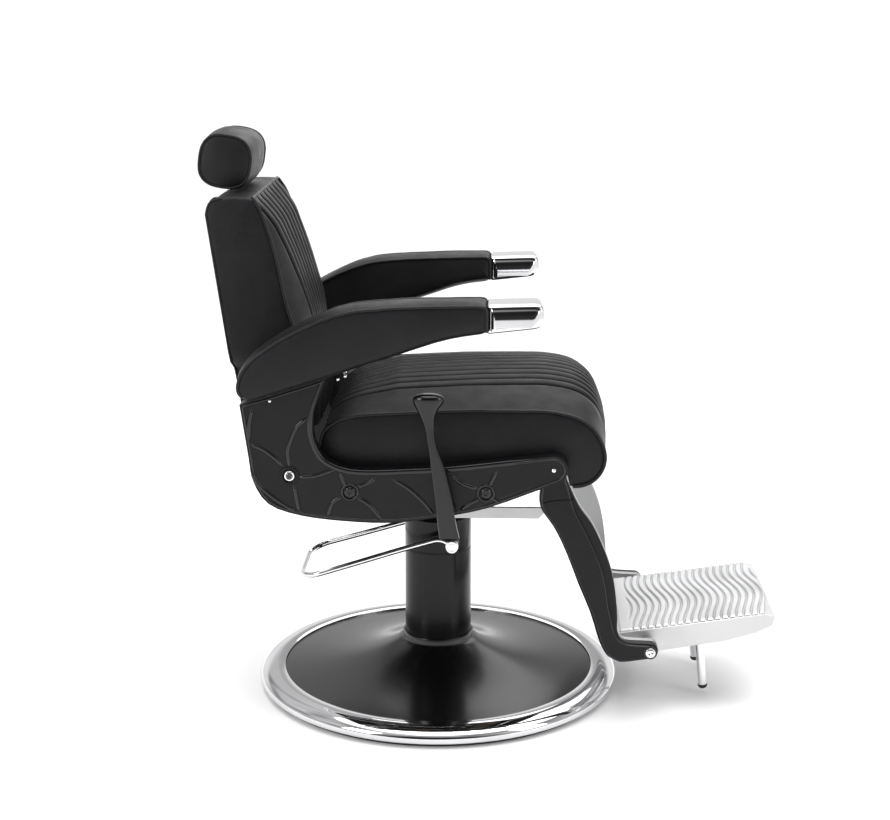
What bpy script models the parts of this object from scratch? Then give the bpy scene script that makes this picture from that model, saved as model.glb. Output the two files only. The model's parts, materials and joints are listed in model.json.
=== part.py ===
"""Hydraulic barber chair as separate parts.

Metres, +Z up. The origin is on the floor at the centre of the round base, and the sitter faces +X,
so the sitter's right-hand side is at -Y. The seat is at its lowest and the back is upright.
"""

import math

import bmesh
import bpy
from mathutils import Vector

# Round base and column
BASE_RADIUS = 0.330
BASE_PLATE_RADIUS = 0.286
DOME_RADIUS = 0.2825
DOME_EDGE_HEIGHT = 0.030
DOME_TOP_HEIGHT = 0.088
PLATE_THICKNESS = 0.012
COLUMN_RADIUS = 0.0605
COLUMN_WALL = 0.003
COLUMN_JOINT_HEIGHT = 0.257
PUMP_HEAD_TOP = 0.318
PUMP_HEAD_CEILING = 0.306
PLUNGER_Y = 0.0365

# Ram and swivel
RAM_RADIUS = 0.0222
RAM_BORE = 0.0226
RAM_BOTTOM = 0.028
RAM_TOP = 0.3985
HUB_RADIUS = 0.040
HUB_BOTTOM = 0.330
HUB_TOP = 0.4085

# Pivots in the X-Z plane
BACK_PIVOT = (-0.236, 0.463)
LEG_PIVOT = (0.202, 0.476)
CRANK_LENGTH = 0.075
FOOTPLATE_PIVOT = (0.376, 0.130)
LEVER_PIVOT = (0.028, 0.410)
PEDAL_PIVOT = (0.028, 0.281)
PEDAL_ROD_Y = 0.0822
PEDAL_ROD_RADIUS = 0.0050
PEDAL_SHAFT_RADIUS = 0.0048
LEVER_SHAFT_RADIUS = 0.0060
BACK_STUD_RADIUS = 0.0070
LEG_SHAFT_RADIUS = 0.0090
AXLE_RADIUS = 0.0060
LINK_PIN_RADIUS = 0.0055
PIN_CLEARANCE = 0.0004

# Planes across the chair: distances from the middle plane
SEAT_HALF_WIDTH = 0.238
FRAME_INNER = 0.2475
FRAME_OUTER = 0.2745
ARM_INNER = 0.221
ARM_OUTER = 0.303
LEG_INNER = 0.1715
LEG_OUTER = 0.2035
BRACKET_OUTER = 0.1795
LINK_INNER = 0.1635
LINK_OUTER = 0.1695
PLATE_HALF_WIDTH = 0.143
BACK_TOP_HALF_WIDTH = 0.165
BACK_TAPER = 0.123
BACK_LOWER_HALF_WIDTH = 0.168
BACK_SHOULDER_HEIGHT = 0.618

# Seat structure
MOUNT_PLATE_HEIGHT = 0.0120
CROSS_TUBE_SIZE = 0.027
CROSS_TUBE_WALL = 0.003
FRAME_BOLT_HEIGHT = 0.436
CROSS_TUBE_BOTTOM = 0.4215
REAR_TUBE_X = -0.136
FRONT_TUBE_X = 0.090
SEAT_PAN_BOTTOM = 0.4488
SEAT_PAN_THICKNESS = 0.011
SEAT_UNDERSIDE = 0.4601
SEAT_CROWN = 0.030

# Backrest: a line up its rear face, and the forward direction square to it
BACK_FOOT = (-0.320, 0.515)
BACK_TOP_REAR = (-0.382, 0.900)
BACK_SHELL_THICKNESS = 0.012
BACK_CROSS_BAR = (-0.292, 0.498)
HEADREST_PIVOT_ALONG = 0.451
HEADREST_PIVOT_FORWARD = 0.025
HEADREST_CENTRE = (-0.359, 0.9625)
HEADREST_HALF_DEPTH = 0.0500
HEADREST_HALF_HEIGHT = 0.0515
HEADREST_LEAN = math.radians(-14)
HEADREST_HALF_WIDTH = 0.095

# General
GAP = 0.0003
PIVOT_GAP = 0.0005
ROUND = 20

FINISHES = {
    "black_leather": ((0.022, 0.022, 0.024), 0.0, 0.45),
    "black_paint": ((0.018, 0.018, 0.020), 0.0, 0.35),
    "chrome": ((0.80, 0.80, 0.82), 1.0, 0.06),
    "cast_aluminium": ((0.72, 0.72, 0.72), 1.0, 0.38),
    "steel": ((0.55, 0.55, 0.56), 1.0, 0.35),
    "plywood": ((0.42, 0.28, 0.16), 0.0, 0.70),
    "rubber": ((0.02, 0.02, 0.02), 0.0, 0.85),
    "bronze": ((0.55, 0.36, 0.15), 1.0, 0.35),
}


# ---------------------------------------------------------------- helpers


def clear_scene():
    for obj in list(bpy.data.objects):
        bpy.data.objects.remove(obj)


def finish_material(slot):
    found = bpy.data.materials.get(slot)
    if found:
        return found
    colour, metallic, roughness = FINISHES[slot]
    made = bpy.data.materials.new(slot)
    made.use_nodes = True
    shader = made.node_tree.nodes["Principled BSDF"]
    shader.inputs["Base Color"].default_value = (*colour, 1.0)
    shader.inputs["Metallic"].default_value = metallic
    shader.inputs["Roughness"].default_value = roughness
    return made


def mesh_object(name, bm, slot):
    """Turns a closed bmesh into a named object with its faces pointing out."""
    bmesh.ops.recalc_face_normals(bm, faces=bm.faces)
    mesh = bpy.data.meshes.new(name)
    bm.to_mesh(mesh)
    bm.free()
    mesh.shade_smooth()
    mesh.set_sharp_from_angle(angle=math.radians(32))
    mesh.materials.append(finish_material(slot))
    obj = bpy.data.objects.new(name, mesh)
    bpy.context.scene.collection.objects.link(obj)
    return obj


def loft(name, sections, slot):
    """Joins closed loops of equally many points, and closes the two ends."""
    bm = bmesh.new()
    rings = [[bm.verts.new(point) for point in section] for section in sections]
    count = len(rings[0])
    for low, high in zip(rings, rings[1:]):
        for i in range(count):
            j = (i + 1) % count
            bm.faces.new((low[i], low[j], high[j], high[i]))
    bm.faces.new(rings[0])
    bm.faces.new(rings[-1])
    return mesh_object(name, bm, slot)


def prism(name, outline, y_a, y_b, slot):
    """An X-Z outline made thick from y_a to y_b."""
    sections = [[(x, y, z) for x, z in outline] for y in sorted((y_a, y_b))]
    return loft(name, sections, slot)


def box(name, low, high, slot):
    outline = [(low[0], low[2]), (high[0], low[2]), (high[0], high[2]), (low[0], high[2])]
    return prism(name, outline, low[1], high[1], slot)


def turned(name, profile, slot, centre=(0.0, 0.0, 0.0), axis="Z", segments=ROUND):
    """Spins (radius, height) points round an axis; a profile that touches the axis closes there."""
    bm = bmesh.new()
    rings = []
    for radius, height in profile:
        steps = range(segments) if radius > 0 else range(1)
        ring = []
        for step in steps:
            turn = 2 * math.pi * step / segments
            across = (radius * math.cos(turn), radius * math.sin(turn))
            if axis == "Z":
                place = (across[0], across[1], height)
            else:
                place = (across[0], height, across[1])
            ring.append(bm.verts.new(Vector(place) + Vector(centre)))
        rings.append(ring)
    for ring, after in zip(rings, rings[1:] + rings[:1]):
        for step in range(segments):
            corners = []
            for loop, at in ((ring, step), (ring, step + 1), (after, step + 1), (after, step)):
                vert = loop[at % len(loop)]
                if vert not in corners:
                    corners.append(vert)
            if len(corners) > 2:
                bm.faces.new(corners)
    return mesh_object(name, bm, slot)


def pin(name, place, y_a, y_b, radius, slot, segments=ROUND):
    """A plain round bar along Y, through the X-Z point place."""
    profile = [(0, y_a), (radius, y_a), (radius, y_b), (0, y_b)]
    return turned(name, profile, slot, (place[0], 0, place[1]), "Y", segments)


def swept(name, path, radius, slot, sides=10):
    """A round rod along a path of points, with flat ends."""
    points = [Vector(point) for point in path]
    sections = []
    for i, point in enumerate(points):
        ahead = (points[min(i + 1, len(points) - 1)] - points[max(i - 1, 0)]).normalized()
        side = ahead.cross(Vector((0, 0, 1))).normalized()
        up = side.cross(ahead)
        ring = []
        for step in range(sides):
            turn = 2 * math.pi * (step + 0.5) / sides
            ring.append(point + side * radius * math.cos(turn) + up * radius * math.sin(turn))
        sections.append(ring)
    return loft(name, sections, slot)


def smooth_run(points, steps=3):
    """An open curve through the points, ends included."""
    run = []
    for i in range(len(points) - 1):
        before = Vector(points[max(i - 1, 0)])
        start = Vector(points[i])
        end = Vector(points[i + 1])
        after = Vector(points[min(i + 2, len(points) - 1)])
        for step in range(steps):
            t = step / steps
            turn_in = (end - before) * 0.5
            turn_out = (after - start) * 0.5
            place = (2 * t**3 - 3 * t**2 + 1) * start + (t**3 - 2 * t**2 + t) * turn_in
            place += (-2 * t**3 + 3 * t**2) * end + (t**3 - t**2) * turn_out
            run.append(tuple(place))
    run.append(tuple(points[-1]))
    return run


def arc(centre, radius, start, end, steps):
    """Points round a centre in the X-Z plane, from one angle in degrees to another."""
    points = []
    for step in range(steps + 1):
        turn = math.radians(start + (end - start) * step / steps)
        points.append((centre[0] + radius * math.cos(turn), centre[1] + radius * math.sin(turn)))
    return points


def helper(obj):
    obj.hide_render = True
    obj.display_type = "WIRE"
    return obj


def cut(obj, cutter):
    change = obj.modifiers.new("cut", "BOOLEAN")
    change.operation = "DIFFERENCE"
    change.object = helper(cutter)


def join(obj, other):
    change = obj.modifiers.new("join", "BOOLEAN")
    change.operation = "UNION"
    change.object = helper(other)


def both_sides():
    """The sitter's right side first, then the left."""
    return (("right", -1), ("left", 1))


# ---------------------------------------------------------------- base and pump


def dome_height(radius):
    """The spun dome rises slowly from its rim and steeply into the column."""
    share = (DOME_RADIUS - radius) / (DOME_RADIUS - COLUMN_RADIUS)
    rise = DOME_TOP_HEIGHT - DOME_EDGE_HEIGHT
    return DOME_EDGE_HEIGHT + rise * (0.42 * share + 0.58 * share**6)


def make_base():
    turned(
        "base_plate",
        [(0, 0), (BASE_PLATE_RADIUS, 0), (BASE_PLATE_RADIUS, 0.0045), (0.12, PLATE_THICKNESS),
         (0, PLATE_THICKNESS)],
        "steel",
        segments=40,
    )
    turned(
        "base_floor_ring",
        [(BASE_PLATE_RADIUS + PIVOT_GAP, 0), (0.314, 0), (0.316, 0.0045),
         (BASE_PLATE_RADIUS + PIVOT_GAP, 0.0045)],
        "rubber",
        segments=40,
    )
    ring = [(0.2835, 0.0050), (0.318, 0.0050), (0.327, 0.0090), (BASE_RADIUS, 0.0170)]
    ring += [(0.327, 0.0250), (0.318, 0.0310), (0.300, 0.0345), (0.2840, 0.0335)]
    turned("base_trim_ring", ring, "chrome", segments=48)
    radii = [DOME_RADIUS, 0.215, 0.15, 0.108, 0.085, 0.072]
    outside = [(radius, dome_height(radius)) for radius in radii]
    inside = [(radius - 0.001, dome_height(radius) - 0.0025) for radius in radii[::-1]]
    collar = [(0.0645, 0.0860), (0.0645, 0.0935), (0.0610, 0.0950), (0.0610, 0.0820)]
    turned("base_dome", outside + collar + inside, "black_paint", segments=40)


def make_column():
    turned(
        "column_cover",
        [(COLUMN_RADIUS - COLUMN_WALL, 0.0140), (COLUMN_RADIUS, 0.0140),
         (COLUMN_RADIUS, COLUMN_JOINT_HEIGHT - PIVOT_GAP),
         (COLUMN_RADIUS - COLUMN_WALL, COLUMN_JOINT_HEIGHT - PIVOT_GAP)],
        "black_paint",
        segments=32,
    )
    body = turned(
        "pump_body",
        [(0, 0.0125), (0.056, 0.0125), (0.056, 0.022), (0.050, 0.024), (0.050, 0.2545),
         (RAM_BORE, 0.2545), (RAM_BORE, 0.0260), (0, 0.0260)],
        "steel",
    )
    cut(body, turned("plunger_bore", [(0, 0.19), (0.0066, 0.19), (0.0066, 0.27), (0, 0.27)],
                     "steel", (0, PLUNGER_Y, 0), segments=16))
    head = turned(
        "pump_head",
        [(0.0234, PUMP_HEAD_TOP), (COLUMN_RADIUS, PUMP_HEAD_TOP),
         (COLUMN_RADIUS, COLUMN_JOINT_HEIGHT + PIVOT_GAP), (0.0540, COLUMN_JOINT_HEIGHT + PIVOT_GAP),
         (0.0540, PUMP_HEAD_CEILING), (0.0234, PUMP_HEAD_CEILING)],
        "black_paint",
        segments=32,
    )
    for side, sign in both_sides():
        join(head, pin("boss_" + side, PEDAL_PIVOT, sign * 0.0490, sign * 0.0755, 0.0120,
                       "black_paint", 20))
    cut(head, pin("pedal_shaft_hole", PEDAL_PIVOT, -0.09, 0.09, PEDAL_SHAFT_RADIUS + PIN_CLEARANCE,
                  "steel", 16))
    turned(
        "ram_wiper_seal",
        [(RAM_BORE, 0.3183), (0.032, 0.3183), (0.030, 0.3225), (RAM_BORE, 0.3225)],
        "rubber",
    )


def make_pedal():
    shaft = turned(
        "pedal_shaft",
        [(0, -0.0935), (0.0105, -0.0935), (0.0105, -0.0885), (PEDAL_SHAFT_RADIUS, -0.0885),
         (PEDAL_SHAFT_RADIUS, 0.0885), (0.0105, 0.0885), (0.0105, 0.0935), (0, 0.0935)],
        "chrome",
        (PEDAL_PIVOT[0], 0, PEDAL_PIVOT[1]),
        "Y",
        16,
    )
    rocker = arc(PEDAL_PIVOT, 0.007, -90, 90, 6) + arc((0.0, PEDAL_PIVOT[1]), 0.004, 90, 270, 4)
    join(shaft, prism("rocker_arm", rocker, 0.0325, 0.0400, "steel"))
    turn_radius = 0.024
    bend = [(0.020, 0.2850), (0.010, 0.2900), (-0.002, 0.2905), (-0.020, 0.2860), (-0.222, 0.2254)]
    near = [(x, -PEDAL_ROD_Y, z) for x, z in bend]
    corner = []
    for step in range(1, 6):
        turn = math.pi / 2 * step / 6
        reach = turn_radius * math.sin(turn)
        aside = turn_radius * (1 - math.cos(turn))
        corner.append((-0.222 - reach, -PEDAL_ROD_Y + aside, 0.2254 - 0.3 * reach))
    bar = [(-0.246, -PEDAL_ROD_Y + turn_radius + 0.002, 0.2182)]
    half = near + corner + bar
    path = half + [(x, -y, z) for x, y, z in reversed(half)]
    rod = swept("pedal_rod", path, PEDAL_ROD_RADIUS, "chrome")
    for side, sign in both_sides():
        eye = turned(
            "eye_" + side,
            [(PEDAL_SHAFT_RADIUS + PIN_CLEARANCE, -0.0055), (0.0115, -0.0055), (0.0115, 0.0055),
             (PEDAL_SHAFT_RADIUS + PIN_CLEARANCE, 0.0055)],
            "chrome",
            (PEDAL_PIVOT[0], sign * PEDAL_ROD_Y, PEDAL_PIVOT[1]),
            "Y",
            20,
        )
        join(rod, eye)


def make_plunger():
    turned(
        "pump_plunger",
        [(0, 0.2080), (0.0062, 0.2080), (0.0062, 0.2712), (0.0100, 0.2712), (0.0100, 0.2750),
         (0, 0.2750)],
        "steel",
        (0, PLUNGER_Y, 0),
        segments=16,
    )
    turns = 4
    radius = 0.0084
    path = []
    for step in range(turns * 8 + 1):
        turn = 2 * math.pi * step / 8
        height = 0.2560 + 0.0140 * step / (turns * 8)
        path.append((radius * math.cos(turn), PLUNGER_Y + radius * math.sin(turn), height))
    swept("plunger_spring", path, 0.0008, "steel", 5)


def make_ram():
    turned(
        "ram",
        [(0, RAM_BOTTOM), (RAM_RADIUS - 0.002, RAM_BOTTOM), (RAM_RADIUS, RAM_BOTTOM + 0.003),
         (RAM_RADIUS, RAM_TOP - 0.002), (RAM_RADIUS - 0.002, RAM_TOP), (0, RAM_TOP)],
        "chrome",
    )
    turned(
        "swivel_thrust_washer",
        [(0.006, 0.3988), (0.0205, 0.3988), (0.0205, 0.4015), (0.006, 0.4015)],
        "bronze",
    )


# ---------------------------------------------------------------- seat frame


def arm_underside():
    """The lower edge of an armrest, from front to rear; the side frame's top follows it."""
    return smooth_run([(0.0905, 0.7068), (0.030, 0.697), (-0.042, 0.674), (-0.136, 0.643),
                       (-0.188, 0.625), (-0.237, 0.609), (-0.277, 0.596), (-0.297, 0.591)])


def side_frame_outline():
    rear_and_bottom = smooth_run([(-0.3165, 0.583), (-0.304, 0.495), (-0.297, 0.452), (-0.272, 0.413),
                                  (-0.220, 0.394), (-0.150, 0.385), (-0.070, 0.3825), (0.010, 0.3925),
                                  (0.090, 0.409), (0.184, 0.4445)])
    nose = arc(LEG_PIVOT, 0.0235, -55, 95, 8)
    opening = smooth_run([(0.125, 0.490), (0.029, 0.480), (-0.113, 0.473), (-0.150, 0.478),
                          (-0.181, 0.496), (-0.196, 0.533), (-0.194, 0.572), (-0.180, 0.609)])
    under_arm = [(x, z - 2 * GAP) for x, z in arm_underside() if x < -0.165]
    return rear_and_bottom + nose + opening + under_arm


def make_side_frames():
    outline = side_frame_outline()
    holes = [
        (BACK_PIVOT, BACK_STUD_RADIUS + PIVOT_GAP),
        (LEG_PIVOT, 0.0060),
        ((REAR_TUBE_X, FRAME_BOLT_HEIGHT), 0.0054),
        ((FRONT_TUBE_X, FRAME_BOLT_HEIGHT), 0.0054),
    ]
    for side, sign in both_sides():
        frame = prism("side_frame_" + side, outline, sign * FRAME_INNER, sign * FRAME_OUTER, "black_paint")
        for number, (place, radius) in enumerate(holes):
            low = min(sign * 0.24, sign * 0.29)
            cut(frame, pin(f"frame_hole_{side}_{number}", place, low, low + 0.05, radius, "steel", 16))
        if side == "right":
            cut(frame, pin("lever_bush_hole", LEVER_PIVOT, -0.29, -0.24, 0.0100, "steel", 20))
        for where, x in (("rear", REAR_TUBE_X), ("front", FRONT_TUBE_X)):
            profile = [(0, 0.2478), (0.0050, 0.2478), (0.0050, 0.2748), (0.0095, 0.2748),
                       (0.0085, 0.2785), (0, 0.2790)]
            turned(f"frame_bolt_{where}_{side}", [(r, sign * y) for r, y in profile], "black_paint",
                   (x, 0, FRAME_BOLT_HEIGHT), "Y", 16)


def make_underframe():
    turned(
        "swivel_hub",
        [(0, 0.4020), (RAM_BORE, 0.4020), (RAM_BORE, HUB_BOTTOM), (HUB_RADIUS, HUB_BOTTOM),
         (HUB_RADIUS, HUB_TOP), (0, HUB_TOP)],
        "steel",
    )
    plate_bottom = HUB_TOP + GAP
    box("mount_plate", (-0.152, -0.100, plate_bottom), (0.106, 0.100, plate_bottom + MOUNT_PLATE_HEIGHT),
        "black_paint")
    half = CROSS_TUBE_SIZE / 2
    reach = FRAME_INNER - PIVOT_GAP
    for where, x in (("rear", REAR_TUBE_X), ("front", FRONT_TUBE_X)):
        low = (x - half, -reach, CROSS_TUBE_BOTTOM)
        high = (x + half, reach, CROSS_TUBE_BOTTOM + CROSS_TUBE_SIZE)
        tube = box("cross_tube_" + where, low, high, "black_paint")
        inner_low = (low[0] + CROSS_TUBE_WALL, low[1] - 0.01, low[2] + CROSS_TUBE_WALL)
        inner_high = (high[0] - CROSS_TUBE_WALL, high[1] + 0.01, high[2] - CROSS_TUBE_WALL)
        cut(tube, box("cross_tube_bore_" + where, inner_low, inner_high, "steel"))
    box("seat_pan", (-0.178, -0.225, SEAT_PAN_BOTTOM), (0.163, 0.225, SEAT_PAN_BOTTOM + SEAT_PAN_THICKNESS),
        "plywood")
    profile = [(0, 0.2765), (0.0066, 0.2765), (0.0066, 0.2748), (0.0055, 0.2748), (0.0055, 0.2470),
               (LEG_SHAFT_RADIUS, 0.2470)]
    ends = [(r, -y) for r, y in profile] + [(r, y) for r, y in reversed(profile)]
    turned("leg_pivot_shaft", ends, "chrome", (LEG_PIVOT[0], 0, LEG_PIVOT[1]), "Y", 20)
    for side, sign in both_sides():
        stud = [(0, 0.2800), (0.0095, 0.2790), (0.0105, 0.2748), (BACK_STUD_RADIUS, 0.2748),
                (BACK_STUD_RADIUS, 0.2468), (0.0120, 0.2468), (0.0120, 0.1805),
                (BACK_STUD_RADIUS, 0.1805), (BACK_STUD_RADIUS, 0.1700), (0, 0.1700)]
        turned("back_pivot_stud_" + side, [(r, sign * y) for r, y in stud], "chrome",
               (BACK_PIVOT[0], 0, BACK_PIVOT[1]), "Y", 20)


def seat_outline():
    """The seat cushion's side panel: rounded rear, long top edge, deep rounded nose, leg pocket below."""
    top = smooth_run([(-0.190, 0.512), (-0.178, 0.535), (-0.135, 0.556), (-0.034, 0.562), (0.070, 0.566),
                      (0.190, 0.566), (0.238, 0.558), (0.270, 0.533), (0.286, 0.500), (0.286, 0.475),
                      (0.276, 0.456)])
    pocket = [(0.265, 0.451), (0.242, 0.470), (0.229, 0.506), (0.166, 0.506)]
    return top + pocket + [(0.166, SEAT_UNDERSIDE), (-0.180, SEAT_UNDERSIDE), (-0.190, 0.480)]


def make_seat_cushion():
    sections = []
    for y in (-1.0, -0.93, -0.70, 0.0, 0.70, 0.93, 1.0):
        crown = SEAT_CROWN * (1 - abs(y) ** 2.6)
        section = []
        for x, z in seat_outline():
            height = max(0.0, min(1.0, (z - 0.47) / 0.09))
            forward = max(0.0, min(1.0, (x - 0.20) / 0.08))
            inset = 0.006 if abs(y) == 1.0 else 0.0
            lift = crown * height * (1 - 0.5 * forward) - inset * height
            section.append((x + 0.2 * crown * forward * height, y * SEAT_HALF_WIDTH, z + lift))
        sections.append(section)
    loft("seat_cushion", sections, "black_leather")


def arm_outline():
    top = smooth_run([(-0.316, 0.612), (-0.310, 0.640), (-0.283, 0.671), (-0.230, 0.705), (-0.156, 0.738),
                      (-0.090, 0.7485), (0.000, 0.753), (0.0905, 0.7545)])
    rear = [(-0.306, 0.5925), (-0.313, 0.600)]
    return top + arm_underside() + rear


def make_armrests():
    bracket = [(-0.292, 0.545), (-0.205, 0.545), (-0.196, 0.640), (-0.285, 0.640)]
    groove = [(-0.296, 0.545), (-0.201, 0.545), (-0.192, 0.6405), (-0.289, 0.6405)]
    tip = [(0.0910, 0.7074), (0.159, 0.7150)]
    tip += smooth_run([(0.159, 0.7150), (0.1745, 0.7180), (0.1820, 0.7270), (0.1830, 0.7380),
                       (0.1800, 0.7530), (0.1700, 0.7575)], 2)[1:]
    tip += [(0.0910, 0.7550)]
    for side, sign in both_sides():
        pad = prism("arm_pad_" + side, arm_outline(), sign * ARM_INNER, sign * ARM_OUTER, "black_leather")
        cut(pad, prism("bracket_groove_" + side, groove, sign * 0.2400, sign * 0.2474, "steel"))
        prism("arm_bracket_" + side, bracket, sign * 0.2406, sign * 0.2468, "black_paint")
        prism("arm_tip_" + side, tip, sign * (ARM_INNER + 0.001), sign * (ARM_OUTER - 0.001), "chrome")


def make_recline_lever():
    left = smooth_run([(0.0165, 0.3640), (0.0100, 0.4300), (0.0020, 0.5000), (-0.0050, 0.5500),
                       (-0.0180, 0.5850), (-0.0260, 0.6050)])
    top = smooth_run([(-0.0260, 0.6050), (-0.0020, 0.6170), (0.0220, 0.6090)])[1:]
    right = smooth_run([(0.0220, 0.6090), (0.0140, 0.5850), (0.0080, 0.5500), (0.0200, 0.5000),
                        (0.0340, 0.4300), (0.0460, 0.3650)])[1:]
    lever = prism("recline_lever", left + top + right, -0.3010, -0.2890, "black_paint")
    cut(lever, pin("lever_shaft_seat", LEVER_PIVOT, -0.2960, -0.2700,
                   LEVER_SHAFT_RADIUS + PIN_CLEARANCE, "steel", 16))
    turned(
        "lever_shaft",
        [(0, -0.2955), (LEVER_SHAFT_RADIUS, -0.2955), (LEVER_SHAFT_RADIUS, -0.1620), (0.0130, -0.1620),
         (0.0130, -0.1500), (0, -0.1500)],
        "black_paint",
        (LEVER_PIVOT[0], 0, LEVER_PIVOT[1]),
        "Y",
        16,
    )
    turned(
        "lever_bush",
        [(LEVER_SHAFT_RADIUS + PIN_CLEARANCE, -0.2765), (0.0106, -0.2765), (0.0106, -0.2750),
         (0.0096, -0.2750), (0.0096, -0.2470), (LEVER_SHAFT_RADIUS + PIN_CLEARANCE, -0.2470)],
        "bronze",
        (LEVER_PIVOT[0], 0, LEVER_PIVOT[1]),
        "Y",
        20,
    )


# ---------------------------------------------------------------- backrest and headrest


def back_frame():
    """Foot point, unit vector up the rear face, and unit vector square to it, forward."""
    foot = Vector(BACK_FOOT)
    up = (Vector(BACK_TOP_REAR) - foot).normalized()
    return foot, up, Vector((up.y, -up.x))


def on_back(along, forward):
    foot, up, ahead = back_frame()
    place = foot + up * along + ahead * forward
    return place.x, place.y


def taper_back(obj):
    """Narrows a backrest piece towards its top; its side faces stay flat."""
    for vert in obj.data.vertices:
        half = BACK_TOP_HALF_WIDTH + BACK_TAPER * (BACK_TOP_REAR[1] - vert.co.z)
        vert.co.y = math.copysign(half, vert.co.y)


def narrow_lower_back(obj):
    for side, sign in both_sides():
        low = (-0.40, min(sign * BACK_LOWER_HALF_WIDTH, sign * 0.30), 0.40)
        high = (-0.10, max(sign * BACK_LOWER_HALF_WIDTH, sign * 0.30), BACK_SHOULDER_HEIGHT)
        cut(obj, box(f"{obj.name}_notch_{side}", low, high, "steel"))


def along_back(name, along_a, along_b, forward_a, forward_b, half_width, slot):
    corners = [on_back(along_a, forward_a), on_back(along_a, forward_b),
               on_back(along_b, forward_b), on_back(along_b, forward_a)]
    return prism(name, corners, -half_width, half_width, slot)


def make_backrest():
    length = (Vector(BACK_TOP_REAR) - Vector(BACK_FOOT)).length
    front = BACK_SHELL_THICKNESS
    corners = [on_back(0, 0), on_back(0, front), on_back(length, front), on_back(length - 0.008, 0)]
    shell = prism("back_shell", corners, -1, 1, "black_leather")
    taper_back(shell)
    narrow_lower_back(shell)
    face = smooth_run([(-0.197, 0.530), (-0.1985, 0.600), (-0.209, 0.650), (-0.221, 0.700), (-0.235, 0.750),
                       (-0.253, 0.805), (-0.277, 0.865), (-0.2985, 0.9055)])
    foot = on_back(0, front + GAP)
    outline = [foot, (-0.200, 0.512)] + face
    outline += [(-0.312, 0.9090), (-0.356, 0.9080), on_back(length - 0.003, front + GAP)]
    cushion = prism("back_cushion", outline, -1, 1, "black_leather")
    taper_back(cushion)
    narrow_lower_back(cushion)
    cut(cushion, along_back("guide_pocket", 0.20, 0.50, 0.0, 0.0400, 0.0260, "steel"))
    guide = along_back("headrest_guide", 0.205, 0.3920, 0.0130, 0.0370, 0.0240, "black_paint")
    cut(guide, along_back("guide_bore", 0.15, 0.50, 0.0168, 0.0332, 0.0184, "steel"))
    plate = arc(BACK_PIVOT, 0.026, -35, 25, 4) + [(-0.236, 0.606), (-0.312, 0.606)]
    crank_end = (BACK_PIVOT[0], BACK_PIVOT[1] - CRANK_LENGTH)
    plate += arc(BACK_PIVOT, 0.026, 170, 215, 4) + arc(crank_end, 0.0105, 190, 350, 6)
    for side, sign in both_sides():
        bracket = prism("back_bracket_" + side, plate, sign * LEG_INNER, sign * BRACKET_OUTER,
                        "black_paint")
        cut(bracket, pin("back_pivot_hole_" + side, BACK_PIVOT, sign * 0.1750 - 0.02, sign * 0.1750 + 0.02,
                         BACK_STUD_RADIUS + PIVOT_GAP, "steel", 20))
        join(bracket, pin("rear_link_pin_" + side, crank_end, sign * 0.1622, sign * 0.1750,
                          LINK_PIN_RADIUS, "steel", 16))
    pin("back_cross_bar", BACK_CROSS_BAR, -0.1712, 0.1712, 0.0090, "black_paint", 20)
    knob_place = on_back(0.370, -0.0135)
    turned(
        "headrest_lock_knob",
        [(0, 0.0), (0.0050, 0.0), (0.0050, 0.006), (0.0130, 0.008), (0.0130, 0.022), (0.0100, 0.025),
         (0, 0.025)],
        "black_paint",
        (knob_place[0], 0, knob_place[1]),
        "Y",
        16,
    )


def headrest_outline():
    """A rounded square with soft corners, leaning a little forward."""
    points = []
    for step in range(28):
        turn = 2 * math.pi * step / 28
        across = math.copysign(abs(math.cos(turn)) ** 0.72, math.cos(turn)) * HEADREST_HALF_DEPTH
        up = math.copysign(abs(math.sin(turn)) ** 0.72, math.sin(turn)) * HEADREST_HALF_HEIGHT
        x = HEADREST_CENTRE[0] + across * math.cos(HEADREST_LEAN) - up * math.sin(HEADREST_LEAN) * 0.6
        z = HEADREST_CENTRE[1] + across * math.sin(HEADREST_LEAN) * 0.6 + up * math.cos(HEADREST_LEAN)
        points.append((x, z))
    return points


def make_headrest():
    pivot = on_back(HEADREST_PIVOT_ALONG, HEADREST_PIVOT_FORWARD)
    sections = []
    for y, scale in ((-1.0, 0.86), (-0.93, 1.0), (0.93, 1.0), (1.0, 0.86)):
        section = []
        for x, z in headrest_outline():
            across = HEADREST_CENTRE[0] + (x - HEADREST_CENTRE[0]) * scale
            up = HEADREST_CENTRE[1] + (z - HEADREST_CENTRE[1]) * scale
            section.append((across, y * HEADREST_HALF_WIDTH, up))
        sections.append(section)
    cushion = loft("headrest_cushion", sections, "black_leather")
    slot = [(pivot[0] - 0.013, pivot[1] + 0.012), (pivot[0] + 0.015, pivot[1] + 0.012),
            (pivot[0] + 0.042, 0.86), (pivot[0] - 0.018, 0.86)]
    cut(cushion, prism("headrest_slot", slot, -0.0195, 0.0195, "steel"))
    cut(cushion, pin("headrest_pin_hole", pivot, -0.0365, 0.0365, 0.0064, "steel", 16))
    post = along_back("headrest_post", 0.285, HEADREST_PIVOT_ALONG, 0.0175, 0.0325, 0.0175, "chrome")
    join(post, pin("post_eye", pivot, -0.0174, 0.0174, 0.0095, "chrome", 16))
    cut(post, pin("post_hole", pivot, -0.03, 0.03, 0.0064, "steel", 16))
    pin("headrest_pivot_pin", pivot, -0.0350, 0.0350, 0.0059, "steel", 16)


# ---------------------------------------------------------------- footrest


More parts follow.
